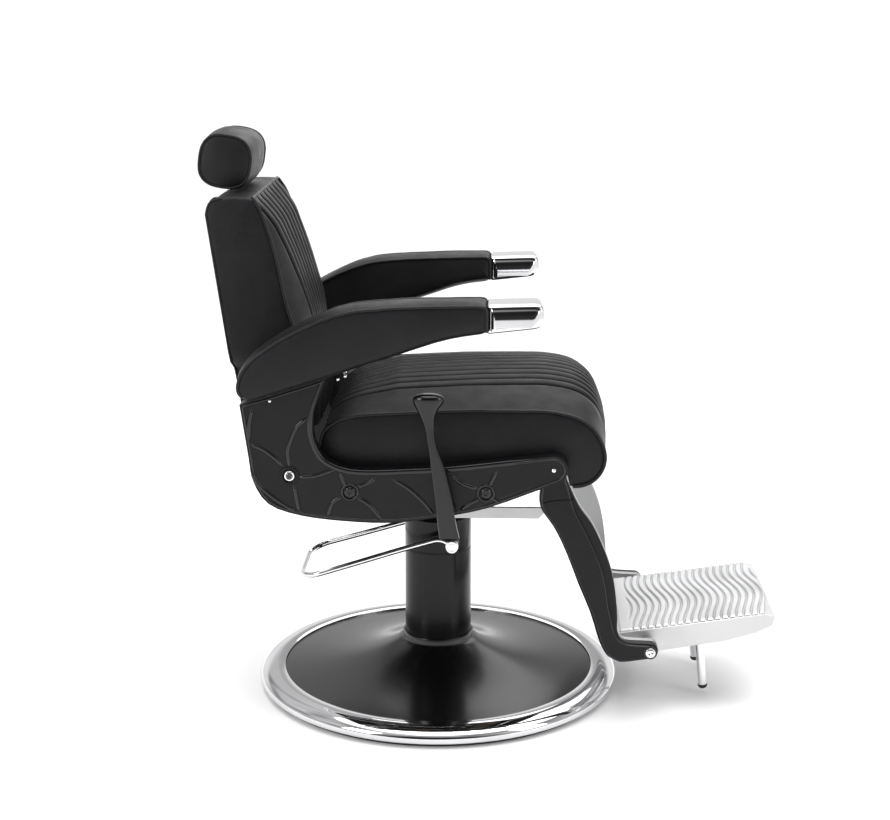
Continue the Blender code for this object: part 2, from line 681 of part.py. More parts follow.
def leg_outline():
    """The leg in its own plane, from the pivot lobe down to the toe that holds the footplate."""
    lobe = arc(LEG_PIVOT, 0.0210, 20, 170, 8)
    rear = smooth_run([(0.1850, 0.440), (0.1800, 0.404), (0.1850, 0.383), (0.207, 0.351), (0.228, 0.307),
                       (0.249, 0.252), (0.271, 0.199), (0.288, 0.145), (0.302, 0.119)])
    toe = arc(FOOTPLATE_PIVOT, 0.0150, -100, 80, 6)
    front = smooth_run([(0.345, 0.146), (0.326, 0.150), (0.318, 0.168), (0.318, 0.192), (0.313, 0.241),
                        (0.305, 0.280), (0.291, 0.318), (0.272, 0.358), (0.248, 0.392), (0.226, 0.440)])
    return lobe + rear + [(0.325, 0.108)] + toe + front


def make_legs():
    crank_end = (LEG_PIVOT[0], LEG_PIVOT[1] - CRANK_LENGTH)
    split = LEG_INNER + 0.012
    for side, sign in both_sides():
        leg = prism("leg_" + side, leg_outline(), sign * LEG_INNER, sign * split, "cast_aluminium")
        cut(leg, pin("leg_hole_" + side, LEG_PIVOT, sign * 0.1775 - 0.02, sign * 0.1775 + 0.02,
                     LEG_SHAFT_RADIUS + PIN_CLEARANCE, "steel", 20))
        cut(leg, pin("toe_hole_" + side, FOOTPLATE_PIVOT, sign * 0.1775 - 0.02, sign * 0.1775 + 0.02,
                     AXLE_RADIUS + PIN_CLEARANCE, "steel", 16))
        join(leg, pin("front_link_pin_" + side, crank_end, sign * 0.1622, sign * 0.1750,
                      LINK_PIN_RADIUS, "steel", 16))
        cover = prism("leg_cover_" + side, leg_outline(), sign * (split + GAP), sign * LEG_OUTER,
                      "black_paint")
        cut(cover, pin("cover_hole_" + side, LEG_PIVOT, sign * 0.2 - 0.03, sign * 0.2 + 0.03,
                       LEG_SHAFT_RADIUS + PIN_CLEARANCE, "steel", 20))
        cut(cover, pin("cover_toe_hole_" + side, FOOTPLATE_PIVOT, sign * 0.2 - 0.03, sign * 0.2 + 0.03,
                       AXLE_RADIUS + PIN_CLEARANCE, "steel", 16))
    half = [(0, 0.2060), (0.0085, 0.2060), (0.0085, 0.2038), (AXLE_RADIUS, 0.2038), (AXLE_RADIUS, 0.1712),
            (0.0110, 0.1712), (0.0110, 0.1436), (0.0070, 0.1436)]
    ends = [(r, -y) for r, y in half] + [(r, y) for r, y in reversed(half)]
    turned("footplate_axle", ends, "chrome", (FOOTPLATE_PIVOT[0], 0, FOOTPLATE_PIVOT[1]), "Y", 20)


def make_link_bars():
    """Flat bars that hang between the rear cranks and the legs."""
    front = (LEG_PIVOT[0], LEG_PIVOT[1] - CRANK_LENGTH)
    rear = (BACK_PIVOT[0], BACK_PIVOT[1] - CRANK_LENGTH)
    outline = arc(front, 0.0110, -40, 150, 7) + [(0.1860, 0.380), (-0.170, 0.379)]
    outline += arc(rear, 0.0110, 80, 230, 6) + [(-0.172, 0.360), (0.180, 0.360)]
    for side, sign in both_sides():
        bar = prism("link_bar_" + side, outline, sign * LINK_INNER, sign * LINK_OUTER, "cast_aluminium")
        for end, place in (("front", front), ("rear", rear)):
            cut(bar, pin(f"link_hole_{end}_{side}", place, sign * 0.1665 - 0.01, sign * 0.1665 + 0.01,
                         LINK_PIN_RADIUS + PIN_CLEARANCE, "steel", 16))


def make_footplate():
    rear_x, front_x = 0.322, 0.598
    rear_top, slope = 0.1418, 0.150
    top = [(rear_x, rear_top), (front_x - 0.016, rear_top + slope * (front_x - 0.016 - rear_x)),
           (front_x, rear_top + slope * (front_x - rear_x) - 0.006)]
    bottom = [(front_x - 0.004, 0.160), (0.566, 0.146), (0.512, 0.130), (0.394, 0.110), (0.330, 0.1115)]
    plate = prism("footplate", top + bottom, -PLATE_HALF_WIDTH, PLATE_HALF_WIDTH, "cast_aluminium")
    inner_front = front_x - 0.020
    inner_top = [(rear_x + 0.006, rear_top - 0.0075),
                 (inner_front, rear_top + slope * (inner_front - rear_x) - 0.0075)]
    hollow = inner_top + [(inner_front, 0.09), (rear_x + 0.006, 0.09)]
    inside = PLATE_HALF_WIDTH - 0.007
    cut(plate, prism("footplate_hollow", hollow, -inside, inside, "steel"))
    cut(plate, pin("footplate_hole", FOOTPLATE_PIVOT, -0.16, 0.16, 0.0074, "steel", 20))
    for side, sign in both_sides():
        top_point = Vector((0.4700, sign * 0.068, 0.1550))
        foot_point = Vector((0.4840, sign * 0.068, 0.0195))
        down = (foot_point - top_point).normalized()
        swept("footplate_peg_" + side, [top_point, foot_point], 0.0080, "cast_aluminium", 14)
        tip_start = foot_point + down * GAP
        swept("peg_tip_" + side, [tip_start, tip_start + down * 0.0085], 0.0084, "rubber", 14)


def main():
    clear_scene()
    make_base()
    make_column()
    make_pedal()
    make_plunger()
    make_ram()
    make_side_frames()
    make_underframe()
    make_seat_cushion()
    make_armrests()
    make_recline_lever()
    make_backrest()
    make_headrest()
    make_legs()
    make_link_bars()
    make_footplate()


main()
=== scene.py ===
"""The looks of the hydraulic barber chair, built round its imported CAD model.

Metres, +Z up. The sitter faces +X, and the sitter's right-hand side is at -Y.
"""

import json
import math

import bmesh
import bpy
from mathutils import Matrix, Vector, noise
from mathutils.bvhtree import BVHTree

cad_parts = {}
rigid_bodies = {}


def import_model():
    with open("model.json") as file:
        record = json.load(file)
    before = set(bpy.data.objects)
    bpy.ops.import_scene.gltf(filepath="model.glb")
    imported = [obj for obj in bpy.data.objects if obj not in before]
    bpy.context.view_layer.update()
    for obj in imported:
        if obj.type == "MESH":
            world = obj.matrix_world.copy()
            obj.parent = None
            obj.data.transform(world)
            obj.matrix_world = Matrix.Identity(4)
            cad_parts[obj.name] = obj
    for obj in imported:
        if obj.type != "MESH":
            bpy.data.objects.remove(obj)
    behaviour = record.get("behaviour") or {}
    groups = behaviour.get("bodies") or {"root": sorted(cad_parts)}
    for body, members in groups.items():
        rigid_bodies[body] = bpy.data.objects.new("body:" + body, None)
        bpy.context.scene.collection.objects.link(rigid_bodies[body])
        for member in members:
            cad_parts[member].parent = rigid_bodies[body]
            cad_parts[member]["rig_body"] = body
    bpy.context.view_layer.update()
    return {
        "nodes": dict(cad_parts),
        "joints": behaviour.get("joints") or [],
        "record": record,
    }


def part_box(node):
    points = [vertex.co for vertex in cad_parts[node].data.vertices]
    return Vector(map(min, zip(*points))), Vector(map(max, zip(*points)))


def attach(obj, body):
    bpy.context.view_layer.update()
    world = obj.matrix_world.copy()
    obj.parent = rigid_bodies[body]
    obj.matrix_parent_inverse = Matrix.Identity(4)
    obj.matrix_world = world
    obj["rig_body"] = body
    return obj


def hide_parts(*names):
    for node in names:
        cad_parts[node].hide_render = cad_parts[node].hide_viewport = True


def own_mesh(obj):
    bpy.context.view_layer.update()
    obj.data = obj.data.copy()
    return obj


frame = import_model()

SIDES = (("right", -1), ("left", 1))
JOINTS = {joint["name"]: joint for joint in frame["joints"]}
BACK_UP = Vector((-0.062, 0.385)).normalized()
BACK_AHEAD = Vector((BACK_UP.y, -BACK_UP.x))
BACK_FOOT = Vector((-0.32, 0.515))
SUNK = 0.0004  # how deep a moulding is sunk in the face that carries it
CLEAR = 0.0004  # what keeps two neighbouring surfaces apart


def pivot(joint):
    """A joint's place in the X-Z plane."""
    place = JOINTS[joint]["pos_m"]
    return place[0], place[2]


def middle_of(node):
    """The middle of a node's box in the X-Z plane."""
    low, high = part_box(node)
    return (low.x + high.x) / 2, (low.z + high.z) / 2


def inner_outer(node, sign):
    """The Y of a node's face towards the chair's middle, and of its face away from it."""
    low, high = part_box(node)
    return (low.y, high.y) if sign > 0 else (high.y, low.y)


def ramp(value, start, end):
    """0 before start, 1 after end, straight between; end may be the smaller."""
    return max(0.0, min(1.0, (value - start) / (end - start)))


def eased(share):
    return share * share * (3 - 2 * share)


def placed(name, data):
    """A new object in the scene."""
    made = bpy.data.objects.new(name, data)
    bpy.context.scene.collection.objects.link(made)
    return made


# ---------------------------------------------------------------- finishes


def fill(node, inputs):
    """Gives each input its value, or links it to the socket given for it."""
    for name, value in inputs.items():
        if isinstance(value, bpy.types.NodeSocket):
            node.id_data.links.new(value, node.inputs[name])
        else:
            node.inputs[name].default_value = value
    return node


def add_node(tree, kind, inputs=(), **traits):
    """A new shader node with its inputs and its own settings."""
    made = tree.nodes.new("ShaderNode" + kind)
    for name, value in traits.items():
        setattr(made, name, value)
    return fill(made, dict(inputs))


def new_shader(name):
    """A new material, its shader and its object coordinates."""
    made = bpy.data.materials.new(name)
    made.use_nodes = True
    place = add_node(made.node_tree, "TexCoord").outputs["Object"]
    return made, made.node_tree.nodes["Principled BSDF"], place


def noise_of(place, scale, detail=4.0, rough=0.5, stretch=None):
    """A noise between 0 and 1. stretch squeezes it along an axis, as brushing does."""
    tree = place.id_data
    if stretch:
        place = add_node(tree, "Mapping", {"Vector": place, "Scale": stretch}).outputs["Vector"]
    inputs = {"Vector": place, "Scale": scale, "Detail": detail, "Roughness": rough}
    return add_node(tree, "TexNoise", inputs).outputs["Fac"]


def spread(value, low=0.0, high=1.0, start=0.35, end=0.65):
    """The value from start to end, spread over low to high."""
    inputs = {"Value": value, "From Min": start, "From Max": end, "To Min": low, "To Max": high}
    return add_node(value.id_data, "MapRange", inputs).outputs["Result"]


def mixed(share, first, second):
    """Two colours mixed by a share; a colour is a tuple or a socket."""
    first, second = ((*each, 1.0) if isinstance(each, tuple) else each for each in (first, second))
    inputs = {"Factor": share, 6: first, 7: second}
    return add_node(share.id_data, "Mix", inputs, data_type="RGBA").outputs[2]


def maths(operation, first, second):
    return add_node(first.id_data, "Math", {0: first, 1: second}, operation=operation).outputs["Value"]


def bumped(shader, height, distance, strength, under=None):
    """Fine relief on a shader, over the relief under it."""
    inputs = {"Height": height, "Distance": distance, "Strength": strength}
    if under:
        inputs["Normal"] = under
    normal = add_node(shader.id_data, "Bump", inputs).outputs["Normal"]
    fill(shader, {"Normal": normal})
    return normal


def pointiness(shader):
    """Over 0.5 on outer edges, where hands and shoes rub, and under it in creases."""
    return add_node(shader.id_data, "NewGeometry").outputs["Pointiness"]


def leather(name, dark, light, rough, gleam):
    """Upholstery leather: pebbled grain, fine pores, soft mottling and polished raised seams. Where the
    groove attribute is set it carries painted shade: the colour goes near black and the gleam is taken away.
    """
    made, shader, place = new_shader(name)
    tree = made.node_tree
    curve = pointiness(shader)
    # groove is painted shade that the pieces store: dark stitched grooves, and darkened tops of bolsters and
    # armrests
    groove = add_node(tree, "Attribute", attribute_name="groove").outputs["Fac"]
    mottled = mixed(spread(noise_of(place, 9.0, 5.0, 0.6)), dark, light)
    rubbed = tuple(1.7 * part for part in light)
    skin = mixed(spread(curve, start=0.52, end=0.62), mottled, rubbed)
    warp = add_node(tree, "TexNoise", {"Vector": place, "Scale": 160.0}).outputs["Color"]
    shift = add_node(tree, "VectorMath", {0: warp, 1: (0.003, 0.003, 0.003), 2: place},
                     operation="MULTIPLY_ADD").outputs["Vector"]
    grain = add_node(tree, "TexVoronoi", {"Vector": shift, "Scale": 520.0}, feature="DISTANCE_TO_EDGE")
    pebbles = spread(grain.outputs["Distance"], start=0.0, end=0.22)
    soft = bumped(shader, noise_of(place, 45.0), 0.0012, 0.35)
    creased = bumped(shader, pebbles, 0.00022, 0.55, soft)
    bumped(shader, noise_of(place, 1900.0, 2.0), 0.00008, 0.4, creased)
    # painted shade: groove takes the gleam away and blackens the colour
    shine = maths("MULTIPLY", spread(curve, 0.0, gleam, 0.435, 0.492), spread(groove, 1.0, 0.0, 0.0, 1.0))
    fill(shader, {"Base Color": mixed(groove, skin, (0.0014, 0.0014, 0.0016)),
                  "Roughness": spread(noise_of(place, 26.0), rough - 0.06, rough + 0.07),
                  "Specular IOR Level": shine, "Sheen Weight": 0.02, "Sheen Roughness": 0.5,
                  "Coat Weight": 0.02, "Coat Roughness": 0.3})
    return made


def paint(name, colour, rough, peel, coat, haziness, gleam):
    """Black enamel: a faint orange peel, dust-fine haze, and thin edges that show brighter."""
    made, shader, place = new_shader(name)
    lighter = tuple((1 + 10 * haziness) * part for part in colour)
    base = mixed(spread(noise_of(place, 14.0, 5.0, 0.6)), colour, lighter)
    edges = spread(pointiness(shader), start=0.56, end=0.68)
    bumped(shader, noise_of(place, 420.0, 2.0), peel, 0.5)
    fill(shader, {"Base Color": mixed(edges, base, (0.035, 0.035, 0.037)),
                  "Roughness": spread(noise_of(place, 40.0), rough - haziness, rough + haziness),
                  "Specular IOR Level": gleam, "Coat Weight": coat, "Coat Roughness": 0.12})
    return made


def metal(name, colour, rough, scratch, grain, stretch=(1.0, 1.0, 1.0)):
    """Bare or plated metal: its own polish, small smears, and marks along one direction."""
    made, shader, place = new_shader(name)
    smear = noise_of(place, 11.0, 5.0, 0.55)
    dull = tuple(0.9 * part for part in colour)
    bumped(shader, noise_of(place, grain, 2.0, 0.5, stretch), scratch, 0.4)
    fill(shader, {"Base Color": mixed(spread(smear), dull, colour), "Metallic": 1.0,
                  "Roughness": spread(smear, rough, rough * 1.5 + 0.01)})
    return made


def plain(name, grain, dark, light, rough, bump):
    """A dull material whose grain shades its colour; bump is its fine relief."""
    made, shader, place = new_shader(name)
    pattern = noise_of(place, *grain)
    fill(shader, {"Base Color": mixed(spread(pattern), dark, light), "Roughness": spread(pattern, *rough)})
    scale, distance, strength = bump
    bumped(shader, noise_of(place, scale, 2.0) if scale else pattern, distance, strength)
    return made


# Colours, roughness and gleam of the two leathers.
LEATHERS = {
    "leather": ("leather_black", (0.0052, 0.0052, 0.006), (0.0084, 0.0084, 0.0096), 0.4, 0.19),
    "piping": ("leather_piping", (0.0045, 0.0045, 0.005), (0.0075, 0.0075, 0.0085), 0.34, 0.24),
}
# Colour, roughness, depth of the orange peel, coat, haze and gleam of the black paints.
PAINTS = {
    "satin": ("paint_satin_black", (0.003, 0.003, 0.0034), 0.22, 0.00002, 0.2, 0.006, 0.45),
    "cast": ("paint_cast_black", (0.0042, 0.0042, 0.005), 0.36, 0.00022, 0.04, 0.04, 0.2),
    "grip": ("paint_gloss_black", (0.003, 0.003, 0.0035), 0.15, 0.00003, 0.15, 0.01, 0.35),
    "column": ("paint_column_black", (0.003, 0.003, 0.0034), 0.24, 0.00002, 0.1, 0.006, 0.2),
    "moulding": ("paint_moulding_black", (0.0036, 0.0036, 0.0044), 0.15, 0.00003, 0.25, 0.008, 0.34),
}
# The slot, then colour, roughness, depth and fineness of the marks, and how they stretch.
METALS = {
    "chrome": ("chrome", "chrome_polished", (0.8, 0.8, 0.815), 0.04, 0.00001, 300.0),
    "ram": ("chrome", "chrome_ram", (0.36, 0.36, 0.37), 0.14, 0.00002, 300.0, (1.0, 1.0, 0.1)),
    "aluminium": ("cast_aluminium", "aluminium_satin", (0.48, 0.48, 0.485), 0.34, 0.00008, 1300.0),
    "tread": ("cast_aluminium", "aluminium_tread", (0.66, 0.66, 0.665), 0.4, 0.0001, 1300.0),
    "steel": ("steel", "steel_plated", (0.56, 0.56, 0.57), 0.3, 0.00005, 700.0, (1.0, 0.2, 1.0)),
    "bronze": ("bronze", "bronze_bearing", (0.55, 0.36, 0.15), 0.32, 0.00005, 900.0),
}
LOOKS = {look: (leather(*traits), "black_leather") for look, traits in LEATHERS.items()}
LOOKS |= {look: (paint(*traits), "black_paint") for look, traits in PAINTS.items()}
LOOKS |= {look: (metal(*traits), slot) for look, (slot, *traits) in METALS.items()}
LOOKS["plywood"] = (plain("wood_ply", (60.0, 4.0, 0.6, (0.12, 1.0, 1.0)), (0.03, 0.02, 0.012),
                          (0.06, 0.042, 0.026), (0.55, 0.75), (None, 0.0004, 0.5)), "plywood")
LOOKS["rubber"] = (plain("rubber_matt", (60.0, 5.0, 0.6), (0.012, 0.012, 0.012),
                         (0.03, 0.03, 0.031), (0.7, 0.88), (700.0, 0.0002, 0.6)), "rubber")


# ---------------------------------------------------------------- making pieces


def mesh_of(name, bm):
    mesh = bpy.data.meshes.new(name)
    bm.to_mesh(mesh)
    bm.free()
    return mesh


def piece(name, bm, look, body, stands_for=(), sharp=38):
    """Turns a bmesh into a finished piece that rides on a body."""
    bmesh.ops.recalc_face_normals(bm, faces=bm.faces)
    mesh = mesh_of(name, bm)
    mesh.shade_smooth()
    mesh.set_sharp_from_angle(angle=math.radians(sharp))
    made = placed(name, mesh)
    finish, slot = LOOKS[look]
    mesh.materials.append(finish)
    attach(made, body)
    if stands_for:
        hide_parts(*stands_for)
    return made


def ease_edges(obj, width, segments):
    change = obj.modifiers.new("eased_edges", "BEVEL")
    change.width = width
    change.segments = segments
    change.limit_method = "ANGLE"
    change.angle_limit = math.radians(34)
    change.harden_normals = True
    return obj


def clean_copy(node):
    """A CAD node's shape with its flat faces whole again."""
    bm = bmesh.new()
    bm.from_mesh(frame["nodes"][node].data)
    bmesh.ops.remove_doubles(bm, verts=bm.verts, dist=1e-5)
    bmesh.ops.dissolve_limit(bm, angle_limit=math.radians(0.8), verts=bm.verts, edges=bm.edges)
    return bm


def refined(node, look, width, segments=3):
    """The CAD node again with eased edges."""
    made = piece(node + "_eased", clean_copy(node), look, frame["nodes"][node]["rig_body"], [node])
    return ease_edges(made, width, segments)


def loop_length(points):
    return sum(math.dist(a, b) for a, b in zip(points, points[1:] + points[:1]))


def anticlockwise(points):
    pairs = zip(points, points[1:] + points[:1])
    return points if sum(a[0] * b[1] - b[0] * a[1] for a, b in pairs) > 0 else points[::-1]


def side_loop(node, sign):
    """The longest outline of a node's outermost face on one side, as X-Z points."""
    bm = clean_copy(node)
    bm.normal_update()
    facing = [face for face in bm.faces if face.normal.y * sign > 0.95]
    reach = max(face.calc_center_median().y * sign for face in facing)
    outer = {face for face in facing if face.calc_center_median().y * sign > reach - 0.0015}
    ahead = {}
    for face in outer:
        for loop in face.loops:
            if sum(other in outer for other in loop.edge.link_faces) == 1:
                ahead[loop.vert.index] = (loop.link_loop_next.vert.index, loop.vert.co.copy())
    found = []
    while ahead:
        start = at = next(iter(ahead))
        run = []
        while at in ahead:
            after, place = ahead.pop(at)
            run.append((place.x, place.z))
            at = after
        if at == start:
            found.append(run)
    bm.free()
    return max(found, key=loop_length)


def even(points, count, closed=True):
    """The same line with evenly spaced points."""
    run = list(points) + ([points[0]] if closed else [])
    marks = [0.0]
    for a, b in zip(run, run[1:]):
        marks.append(marks[-1] + math.dist(a, b))
    steps = count if closed else count - 1
    made = []
    at = 0
    for step in range(count):
        mark = marks[-1] * step / steps
        while at < len(run) - 2 and marks[at + 1] < mark:
            at += 1
        share = (mark - marks[at]) / max(marks[at + 1] - marks[at], 1e-9)
        made.append(tuple(a + (b - a) * share for a, b in zip(run[at], run[at + 1])))
    return made


def relaxed(points, times, closed=True):
    """Takes the corners off a line of points."""
    for _ in range(times):
        count = len(points)
        made = []
        for i, point in enumerate(points):
            if not closed and i in (0, count - 1):
                made.append(point)
                continue
            before, after = points[i - 1], points[(i + 1) % count]
            made.append(tuple(0.5 * p + 0.25 * (a + b) for p, a, b in zip(point, before, after)))
        points = made
    return points


def outline_of(node, sign, count, times):
    """A node's side outline, even, anticlockwise and with its corners taken off."""
    return anticlockwise(relaxed(even(side_loop(node, sign), count), times))


def left_of(line, i, closed=False):
    """The unit vector to the left of a line of X-Z points at one of its points."""
    before = line[i - 1 if closed else max(i - 1, 0)]
    after = line[(i + 1) % len(line) if closed else min(i + 1, len(line) - 1)]
    along = Vector((after[0] - before[0], after[1] - before[1])).normalized()
    return Vector((-along.y, along.x))


def inward(points, distance):
    """An anticlockwise outline moved in; distance is a number or a function of the point."""
    made = []
    for i, (x, z) in enumerate(points):
        reach = distance((x, z)) if callable(distance) else distance
        left = left_of(points, i, True)
        made.append((x + left.x * reach, z + left.y * reach))
    return made


def curve_through(points, steps):
    """An open smooth curve through the points, ends included."""
    run = []
    for i in range(len(points) - 1):
        before, start = Vector(points[max(i - 1, 0)]), Vector(points[i])
        end, after = Vector(points[i + 1]), Vector(points[min(i + 2, len(points) - 1)])
        for step in range(steps):
            t = step / steps
            place = (2 * t**3 - 3 * t**2 + 1) * start + (t**3 - 2 * t**2 + t) * (end - before) * 0.5
            place += (-2 * t**3 + 3 * t**2) * end + (t**3 - t**2) * (after - start) * 0.5
            run.append(tuple(place))
    run.append(tuple(points[-1]))
    return run


def smooth_line(points, count):
    """A smooth line through the points, evenly spaced."""
    return even(curve_through(points, 8), count, False)


def circle(centre, radius, count):
    turns = [2 * math.pi * step / count for step in range(count)]
    return [(centre[0] + radius * math.cos(turn), centre[1] + radius * math.sin(turn)) for turn in turns]


def rounded(points, radius):
    """An open line of points with its inner corners rounded."""
    steps = 4
    made = [points[0]]
    for before, point, after in zip(points, points[1:], points[2:]):
        back, on = Vector(before) - Vector(point), Vector(after) - Vector(point)
        reach = min(radius, 0.45 * back.length, 0.45 * on.length)
        a, b = Vector(point) + back.normalized() * reach, Vector(point) + on.normalized() * reach
        for step in range(steps + 1):
            t = step / steps
            made.append(tuple((1 - t) ** 2 * a + 2 * t * (1 - t) * Vector(point) + t**2 * b))
    made.append(points[-1])
    return made


def bridge(bm, first, second, closed=True):
    """Faces between two lines of vertices; a line may be a single vertex."""
    count = max(len(first), len(second))
    for i in range(count if closed else count - 1):
        corners = []
        for line, at in ((first, i), (first, i + 1), (second, i + 1), (second, i)):
            vert = line[at % len(line)]
            if vert not in corners:
                corners.append(vert)
        if len(corners) > 2:
            bm.faces.new(corners)


def join_rings(bm, rings, closed=False):
    """Joins each ring to the next, and the last to the first where the shape closes on itself."""
    for ring, after in zip(rings, rings[1:] + (rings[:1] if closed else [])):
        bridge(bm, ring, after)


def join_and_cap(bm, rings):
    join_rings(bm, rings)
    bm.faces.new(rings[0])
    bm.faces.new(rings[-1])


def tube(inner, outer, start, end):
    """The profile of a tube, or of a rod where inner is 0."""
    return [(inner, start), (outer, start), (outer, end), (inner, end)]


def lathe(name, profile, look, body, stands_for=(), centre=(0.0, 0.0), axis="Z", segments=72,
          ease=0.0006):
    """Spins (radius, height) points. centre is X-Y for an upright axis, and X-Z for one along Y."""
    bm = bmesh.new()
    rings = []
    for radius, height in rounded(profile, ease) if ease else profile:
        around = circle(centre, radius, segments if radius > 1e-7 else 1)
        rings.append([bm.verts.new((a, b, height) if axis == "Z" else (a, height, b)) for a, b in around])
    join_rings(bm, rings, profile[0][0] > 0 or profile[-1][0] > 0)
    return piece(name, bm, look, body, stands_for)


def stud(name, profile, face, sign, look, body, centre, segments, ease, stands_for=()):
    """A turned part along Y. profile gives each radius with its distance out from the face."""
    run = [(radius, face + sign * out) for radius, out in profile]
    return lathe(name, run, look, body, stands_for, centre, "Y", segments, ease)


def bar(name, path, radius, look, body, stands_for=(), sides=14, closed=False, squash=1.0):
    """A round bar along 3-D points. radius is a number, or a function of the share of the path."""
    points = [Vector(point) for point in path]
    count = len(points)
    bm = bmesh.new()
    rings = []
    up = None
    for i, point in enumerate(points):
        if closed:
            ahead = (points[(i + 1) % count] - points[i - 1]).normalized()
        else:
            ahead = (points[min(i + 1, count - 1)] - points[max(i - 1, 0)]).normalized()
        if up is None:
            up = ahead.cross(Vector((0, 1, 0)))
            if up.length < 0.2:
                up = ahead.cross(Vector((0, 0, 1)))
        up = (up - ahead * up.dot(ahead)).normalized()
        side = ahead.cross(up)
        size = radius(i / (count - 1)) if callable(radius) else radius
        around = circle((0, 0), size, sides)
        rings.append([bm.verts.new(point + up * a + side * b * squash) for a, b in around])
    if closed:
        join_rings(bm, rings, True)
    else:
        join_and_cap(bm, rings)
    return piece(name, bm, look, body, stands_for)


def hoop(name, outline, radius, y, look, body, sides=12):
    """A closed moulding round an X-Z outline, at one Y."""
    bar(name, [(x, y, z) for x, z in outline], radius, look, body, sides=sides, closed=True)


def block_bm(outline, y_a, y_b):
    """An X-Z outline made thick along Y."""
    bm = bmesh.new()
    join_and_cap(bm, [[bm.verts.new((x, y, z)) for x, z in outline] for y in (y_a, y_b)])
    return bm


def sheet_bm(top, under):
    """Two grids of points, one over the other, closed round their edges."""
    bm = bmesh.new()
    upper, lower = ([[bm.verts.new(point) for point in line] for line in grid] for grid in (top, under))
    for grid in (upper, lower):
        for line, after in zip(grid, grid[1:]):
            bridge(bm, line, after, False)
    for end in (0, -1):
        bridge(bm, upper[end], lower[end], False)
        bridge(bm, [line[end] for line in upper], [line[end] for line in lower], False)
    return bm


def cut_away(obj, cutter_bm):
    """Takes a shape out of a piece for good."""
    bmesh.ops.recalc_face_normals(cutter_bm, faces=cutter_bm.faces)
    cutter = placed("cutter", mesh_of("cutter", cutter_bm))
    change = obj.modifiers.new("cut", "BOOLEAN")
    change.object = cutter
    change.solver = "EXACT"
    bpy.context.view_layer.update()
    graph = bpy.context.evaluated_depsgraph_get()
    result = bpy.data.meshes.new_from_object(obj.evaluated_get(graph))
    obj.modifiers.remove(change)
    obj.data = result
    bpy.data.objects.remove(cutter)


# ---------------------------------------------------------------- upholstery


def ripple(place, size, amount):
    """Gentle unevenness of foam under leather."""
    return amount * noise.noise(Vector(place) / size)


def domed_bm(sections, core, bulge, rings=9):
    """Closed sections side by side, and a domed panel that closes each end.

    core gives the point of the panel's middle line that an outline point runs in to.
    """
    bm = bmesh.new()
    rows = [[bm.verts.new(point) for point in section] for section in sections]
    join_rings(bm, rows)
    for row, sign in ((rows[0], -1), (rows[-1], 1)):
        edge = [vert.co.copy() for vert in row]
        last = row
        for step in range(1, rings + 1):
            share = step / rings
            ring = []
            for point in edge:
                place = point.lerp(core(point), share)
                place.y += sign * bulge * (1 - (1 - share) ** 2) ** 0.75
                ring.append(bm.verts.new(place))
            bridge(bm, last, ring)
            last = ring
    bmesh.ops.remove_doubles(bm, verts=bm.verts, dist=0.00008)
    bmesh.ops.dissolve_degenerate(bm, edges=bm.edges, dist=1e-6)
    bm.normal_update()
    return bm


def upholstered(name, sections, core, bulge, body, stands_for, unevenness=0.0008, rings=9):
    """A stuffed form under leather, a little uneven as foam is."""
    bm = domed_bm(sections, core, bulge, rings)
    for vert in bm.verts:
        shift = ripple(vert.co, 0.075, unevenness) + ripple(vert.co, 0.028, 0.35 * unevenness)
        vert.co += vert.normal * shift
    made = piece(name, bm, "leather", body, stands_for, sharp=80)
    return made


def piping(name, path, radius, body, on=None, closed=False):
    """A leather-covered cord along a seam, sunk a little into the cover that it edges."""
    points = path
    if on:
        tree = BVHTree.FromObject(on, bpy.context.evaluated_depsgraph_get())
        nearest = [tree.find_nearest(Vector(point)) for point in points]
        lifted = [tuple(found + normal * radius * 0.35) for found, normal, _, _ in nearest]
        points = relaxed(lifted, 3, closed)
    bar(name, points, radius, "piping", body, sides=10, closed=closed)


def off_crest(share):
    """0 on a flute's crest and 1 at the stitched line, for a place counted in flutes."""
    return abs(2 * (share % 1.0) - 1)


def flute(share, depth):
    """The height of a sewn flute, 0 on its crest and -depth in the stitched groove."""
    away = off_crest(share)
    return -depth * (0.58 * away**2.1 + 0.42 * (1 - math.sqrt(max(0.0, 1 - away**3.4))))


def in_groove(share):
    return eased(ramp(off_crest(share), 0.38, 0.88))


def store_painted_shade(obj, share_of):
    """Stores a share of painted shade for each point, 0 to 1, which darkens the leather there and takes away
    its gleam.
    """
    layer = obj.data.attributes.new("groove", "FLOAT", "POINT")
    for vert, item in zip(obj.data.vertices, layer.data):
        item.value = share_of(vert.co)


def flute_stations(half, count):
    """Places across a fluted panel, closer together beside the stitched grooves."""
    steps = (0.0, 0.035, 0.09, 0.18, 0.29, 0.42, 0.58, 0.71, 0.82, 0.91, 0.965)
    made = [half * (-1 + 2 * (flute_at + step) / count) for flute_at in range(count) for step in steps]
    return made + [half]


SEAT_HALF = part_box("seat_cushion")[1].y
SEAT_BAND = 0.129
SEAT_FLUTES = 9
SEAT_DEPTH = 0.0118
POCKET_IN, POCKET_OUT, POCKET_EDGE = 0.1605, 0.2085, 0.0025


def seat_run():
    """The seat's side seam, from low at the rear over the top and down under the nose."""
    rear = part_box("seat_cushion")[0].x
    return smooth_line([
        (rear, 0.486), (rear + 0.002, 0.512), (-0.176, 0.536), (-0.135, 0.555), (-0.034, 0.5625),
        (0.07, 0.5665), (0.15, 0.567), (0.2, 0.565), (0.238, 0.557), (0.266, 0.539),
        (0.283, 0.512), (0.2885, 0.49), (0.286, 0.472), (0.278, 0.457), (0.266, 0.446),
        (0.25, 0.4395), (0.235, 0.4385)], 160)


